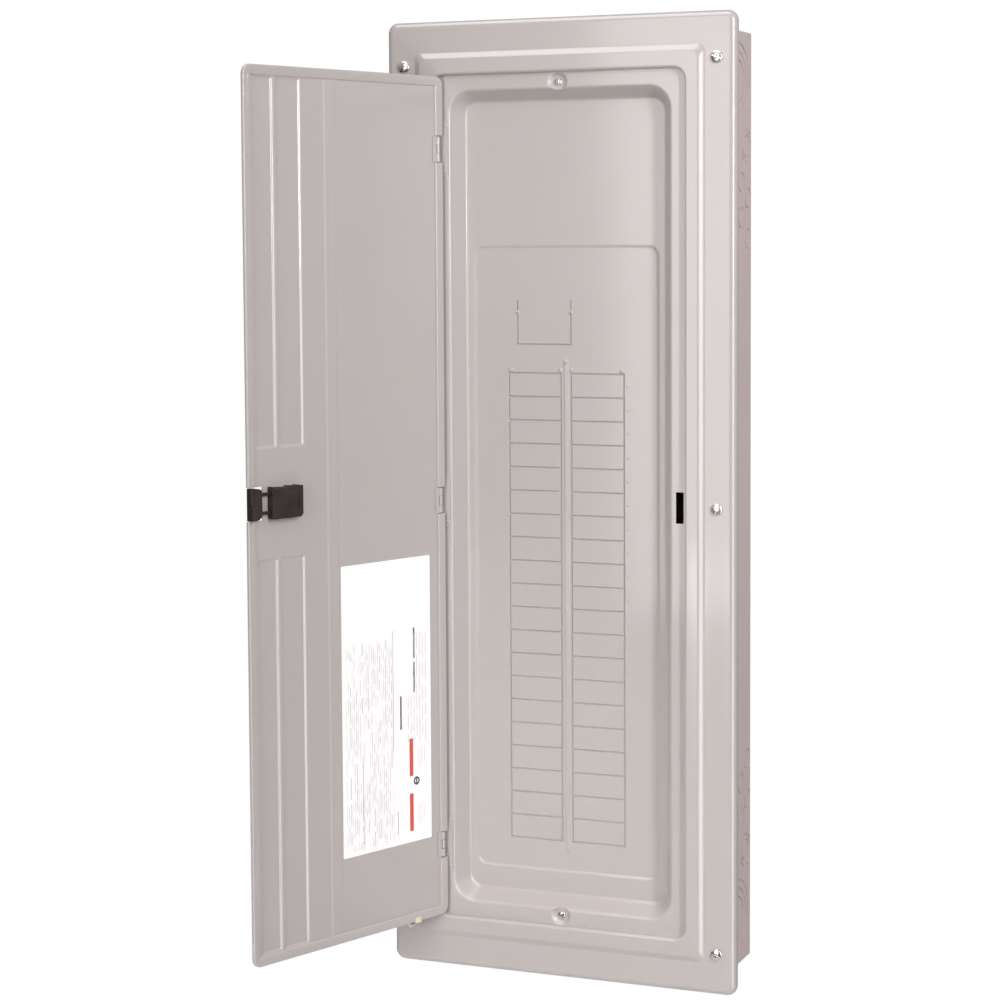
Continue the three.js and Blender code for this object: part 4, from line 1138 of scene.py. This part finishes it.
def build_label():
    """A paper sheet on the door's inner side, and its print as thin raised bars, one piece per ink."""
    x1, x0 = from_edge(LABEL[0]), from_edge(LABEL[1])
    z0, z1 = LABEL[2], LABEL[3]
    half_w, half_h = (x1 - x0) / 2, (z1 - z0) / 2
    mid_x, mid_z = (x0 + x1) / 2, (z0 + z1) / 2
    levels = ((0.1, LABEL_BACK_Y), (0.0, LABEL_FACE_Y - 0.1), (0.1, LABEL_FACE_Y))
    rings = [ring(half_w - inset, half_h - inset, LABEL_R, y, mid_x, mid_z, 4) for inset, y in levels]
    label = loft("label_sheet", rings)
    place(label, "door", LABEL_WHITE, ["door_label"], DOOR_PLACE)
    low, high = LABEL_FACE_Y - PRINT_SINK, LABEL_FACE_Y + PRINT_RISE
    inks = {"grey": LABEL_GREY, "dark": LABEL_DARK, "red": LABEL_RED}
    for ink, material in inks.items():
        pieces = []
        for x, z, length, width, colour in label_bars():
            if colour == ink:
                left = x0 + (x1 - x0) - x - width
                pieces.append(slab("bar", left, left + width, low, high, z1 - z - length, z1 - z))
        if ink == "dark":
            pieces += round_mark(x1, z1, low, high)
        bars = join_meshes(f"label_print_{ink}", pieces)
        place(bars, "door", material, (), DOOR_PLACE)


def round_mark(x1, z1, low, high):
    """A plain round mark with a bar through it, between the two red bars."""
    centre = (x1 - 108.5, 0, z1 - 243)
    disc = turned("disc", [(4.6, low), (4.6, high), (2.6, high), (2.6, low)], 28, "Y")
    disc.data.transform(Matrix.Translation(centre))
    bar = slab("bar", centre[0] - 1, centre[0] + 1, low, high + 0.01, centre[2] - 4, centre[2] + 4)
    return [disc, bar]


# ---------------------------------------------------------------- stage, light and camera
def build_stage():
    """A pale floor well below the panel, and a white surround that lights it mostly from above."""
    mesh = bpy.data.meshes.new("floor")
    size, level = FLOOR_HALF, FLOOR_Z
    mesh.from_pydata(
        [(-size, -size, level), (size, -size, level), (size, size, level), (-size, size, level)],
        [], [(0, 1, 2, 3)],
    )
    floor = bpy.data.objects.new("floor", mesh)
    bpy.context.scene.collection.objects.link(floor)
    material, _tree, bsdf = new_material("pale_floor")
    bsdf.inputs["Base Color"].default_value = (0.9, 0.9, 0.9, 1)
    bsdf.inputs["Roughness"].default_value = 0.9
    mesh.materials.append(material)
    build_world()


def build_world():
    """Camera rays see plain white; other rays get a soft sky that darkens downwards."""
    world = bpy.data.worlds.new("studio")
    bpy.context.scene.world = world
    world.use_nodes = True
    tree = world.node_tree
    background = tree.nodes["Background"]
    coords = tree.nodes.new("ShaderNodeTexCoord").outputs["Generated"]
    parts = tree.nodes.new("ShaderNodeSeparateXYZ")
    tree.links.new(coords, parts.inputs["Vector"])
    sky = ramp_node(tree, span(tree, parts.outputs["Z"], -1, 1, 0, 1), WORLD_STOPS)
    tree.links.new(sky, background.inputs["Color"])
    white = tree.nodes.new("ShaderNodeBackground")
    mix = tree.nodes.new("ShaderNodeMixShader")
    path = tree.nodes.new("ShaderNodeLightPath")
    tree.links.new(path.outputs["Is Camera Ray"], mix.inputs["Fac"])
    tree.links.new(background.outputs["Background"], mix.inputs[1])
    tree.links.new(white.outputs["Background"], mix.inputs[2])
    white.inputs["Color"].default_value = (1, 1, 1, 1)
    tree.links.new(mix.outputs["Shader"], tree.nodes["World Output"].inputs["Surface"])


def add_light(name, location, target, size, power, colour=(1, 1, 1), spread=180, glints_only=False):
    """A rectangular lamp aimed at a point; a glints_only lamp shows in gloss but lights nothing else."""
    data = bpy.data.lights.new(name, "AREA")
    data.spread = math.radians(spread)
    data.shape = "RECTANGLE"
    data.size, data.size_y = size
    data.energy = power
    data.color = colour
    light = bpy.data.objects.new(name, data)
    light.visible_diffuse = not glints_only
    light.location = location
    direction = Vector(target) - Vector(location)
    light.rotation_euler = direction.to_track_quat("-Z", "Y").to_euler()
    bpy.context.scene.collection.objects.link(light)


def build_lights():
    """Two soft lamps, a weak one for the lower border, and two that only draw glints on rounded edges."""
    add_light("softbox_right", (1.45, -1.1, 0.75), (0.0, -0.1, 0.1), (0.22, 1.1), 19, (1.0, 0.985, 1.0))
    add_light("fill_front", (-0.45, -2.6, 0.5), (0, 0, 0), (0.8, 2.1), 22, (0.985, 0.985, 0.97))
    add_light("fill_low", (-0.3, -2.5, -0.5), (0.05, -0.1, -0.52), (0.8, 0.3), 0.26, spread=24)
    add_light("strip_right", (1.45, -1.1, -0.15), (0, -0.1, -0.05), (0.5, 1.9), 20, glints_only=True)
    add_light("strip_top", (-0.2, -0.6, 1.7), (0, -0.1, 0), (1.4, 1.0), 18, glints_only=True)


def build_camera():
    """The photograph's view: from the right, a little above the middle, through a long lens."""
    data = bpy.data.cameras.new("camera")
    data.sensor_width = CAMERA_SENSOR
    data.lens = CAMERA_LENS
    data.shift_x, data.shift_y = CAMERA_SHIFT
    data.clip_end = 60
    camera = bpy.data.objects.new("camera", data)
    level = math.cos(CAMERA_PITCH)
    look = Vector((-math.sin(CAMERA_YAW) * level, math.cos(CAMERA_YAW) * level, -math.sin(CAMERA_PITCH)))
    turn = look.to_track_quat("-Z", "Y").to_matrix().to_4x4()
    at = Matrix.Translation(CAMERA_AT) @ Matrix.Translation((0, WALL_Y * MM, 0))
    camera.matrix_world = at @ turn @ Matrix.Rotation(CAMERA_ROLL, 4, "Z")
    bpy.context.scene.collection.objects.link(camera)
    bpy.context.scene.camera = camera
    bpy.context.scene.view_settings.view_transform = "Standard"


build_camera()
build_stage()
build_lights()
dress_cad_nodes()
build_trim()
build_dead_front()
build_box()
build_screws()
build_door()
build_hinges()
build_latch()
build_bumper()
build_label()
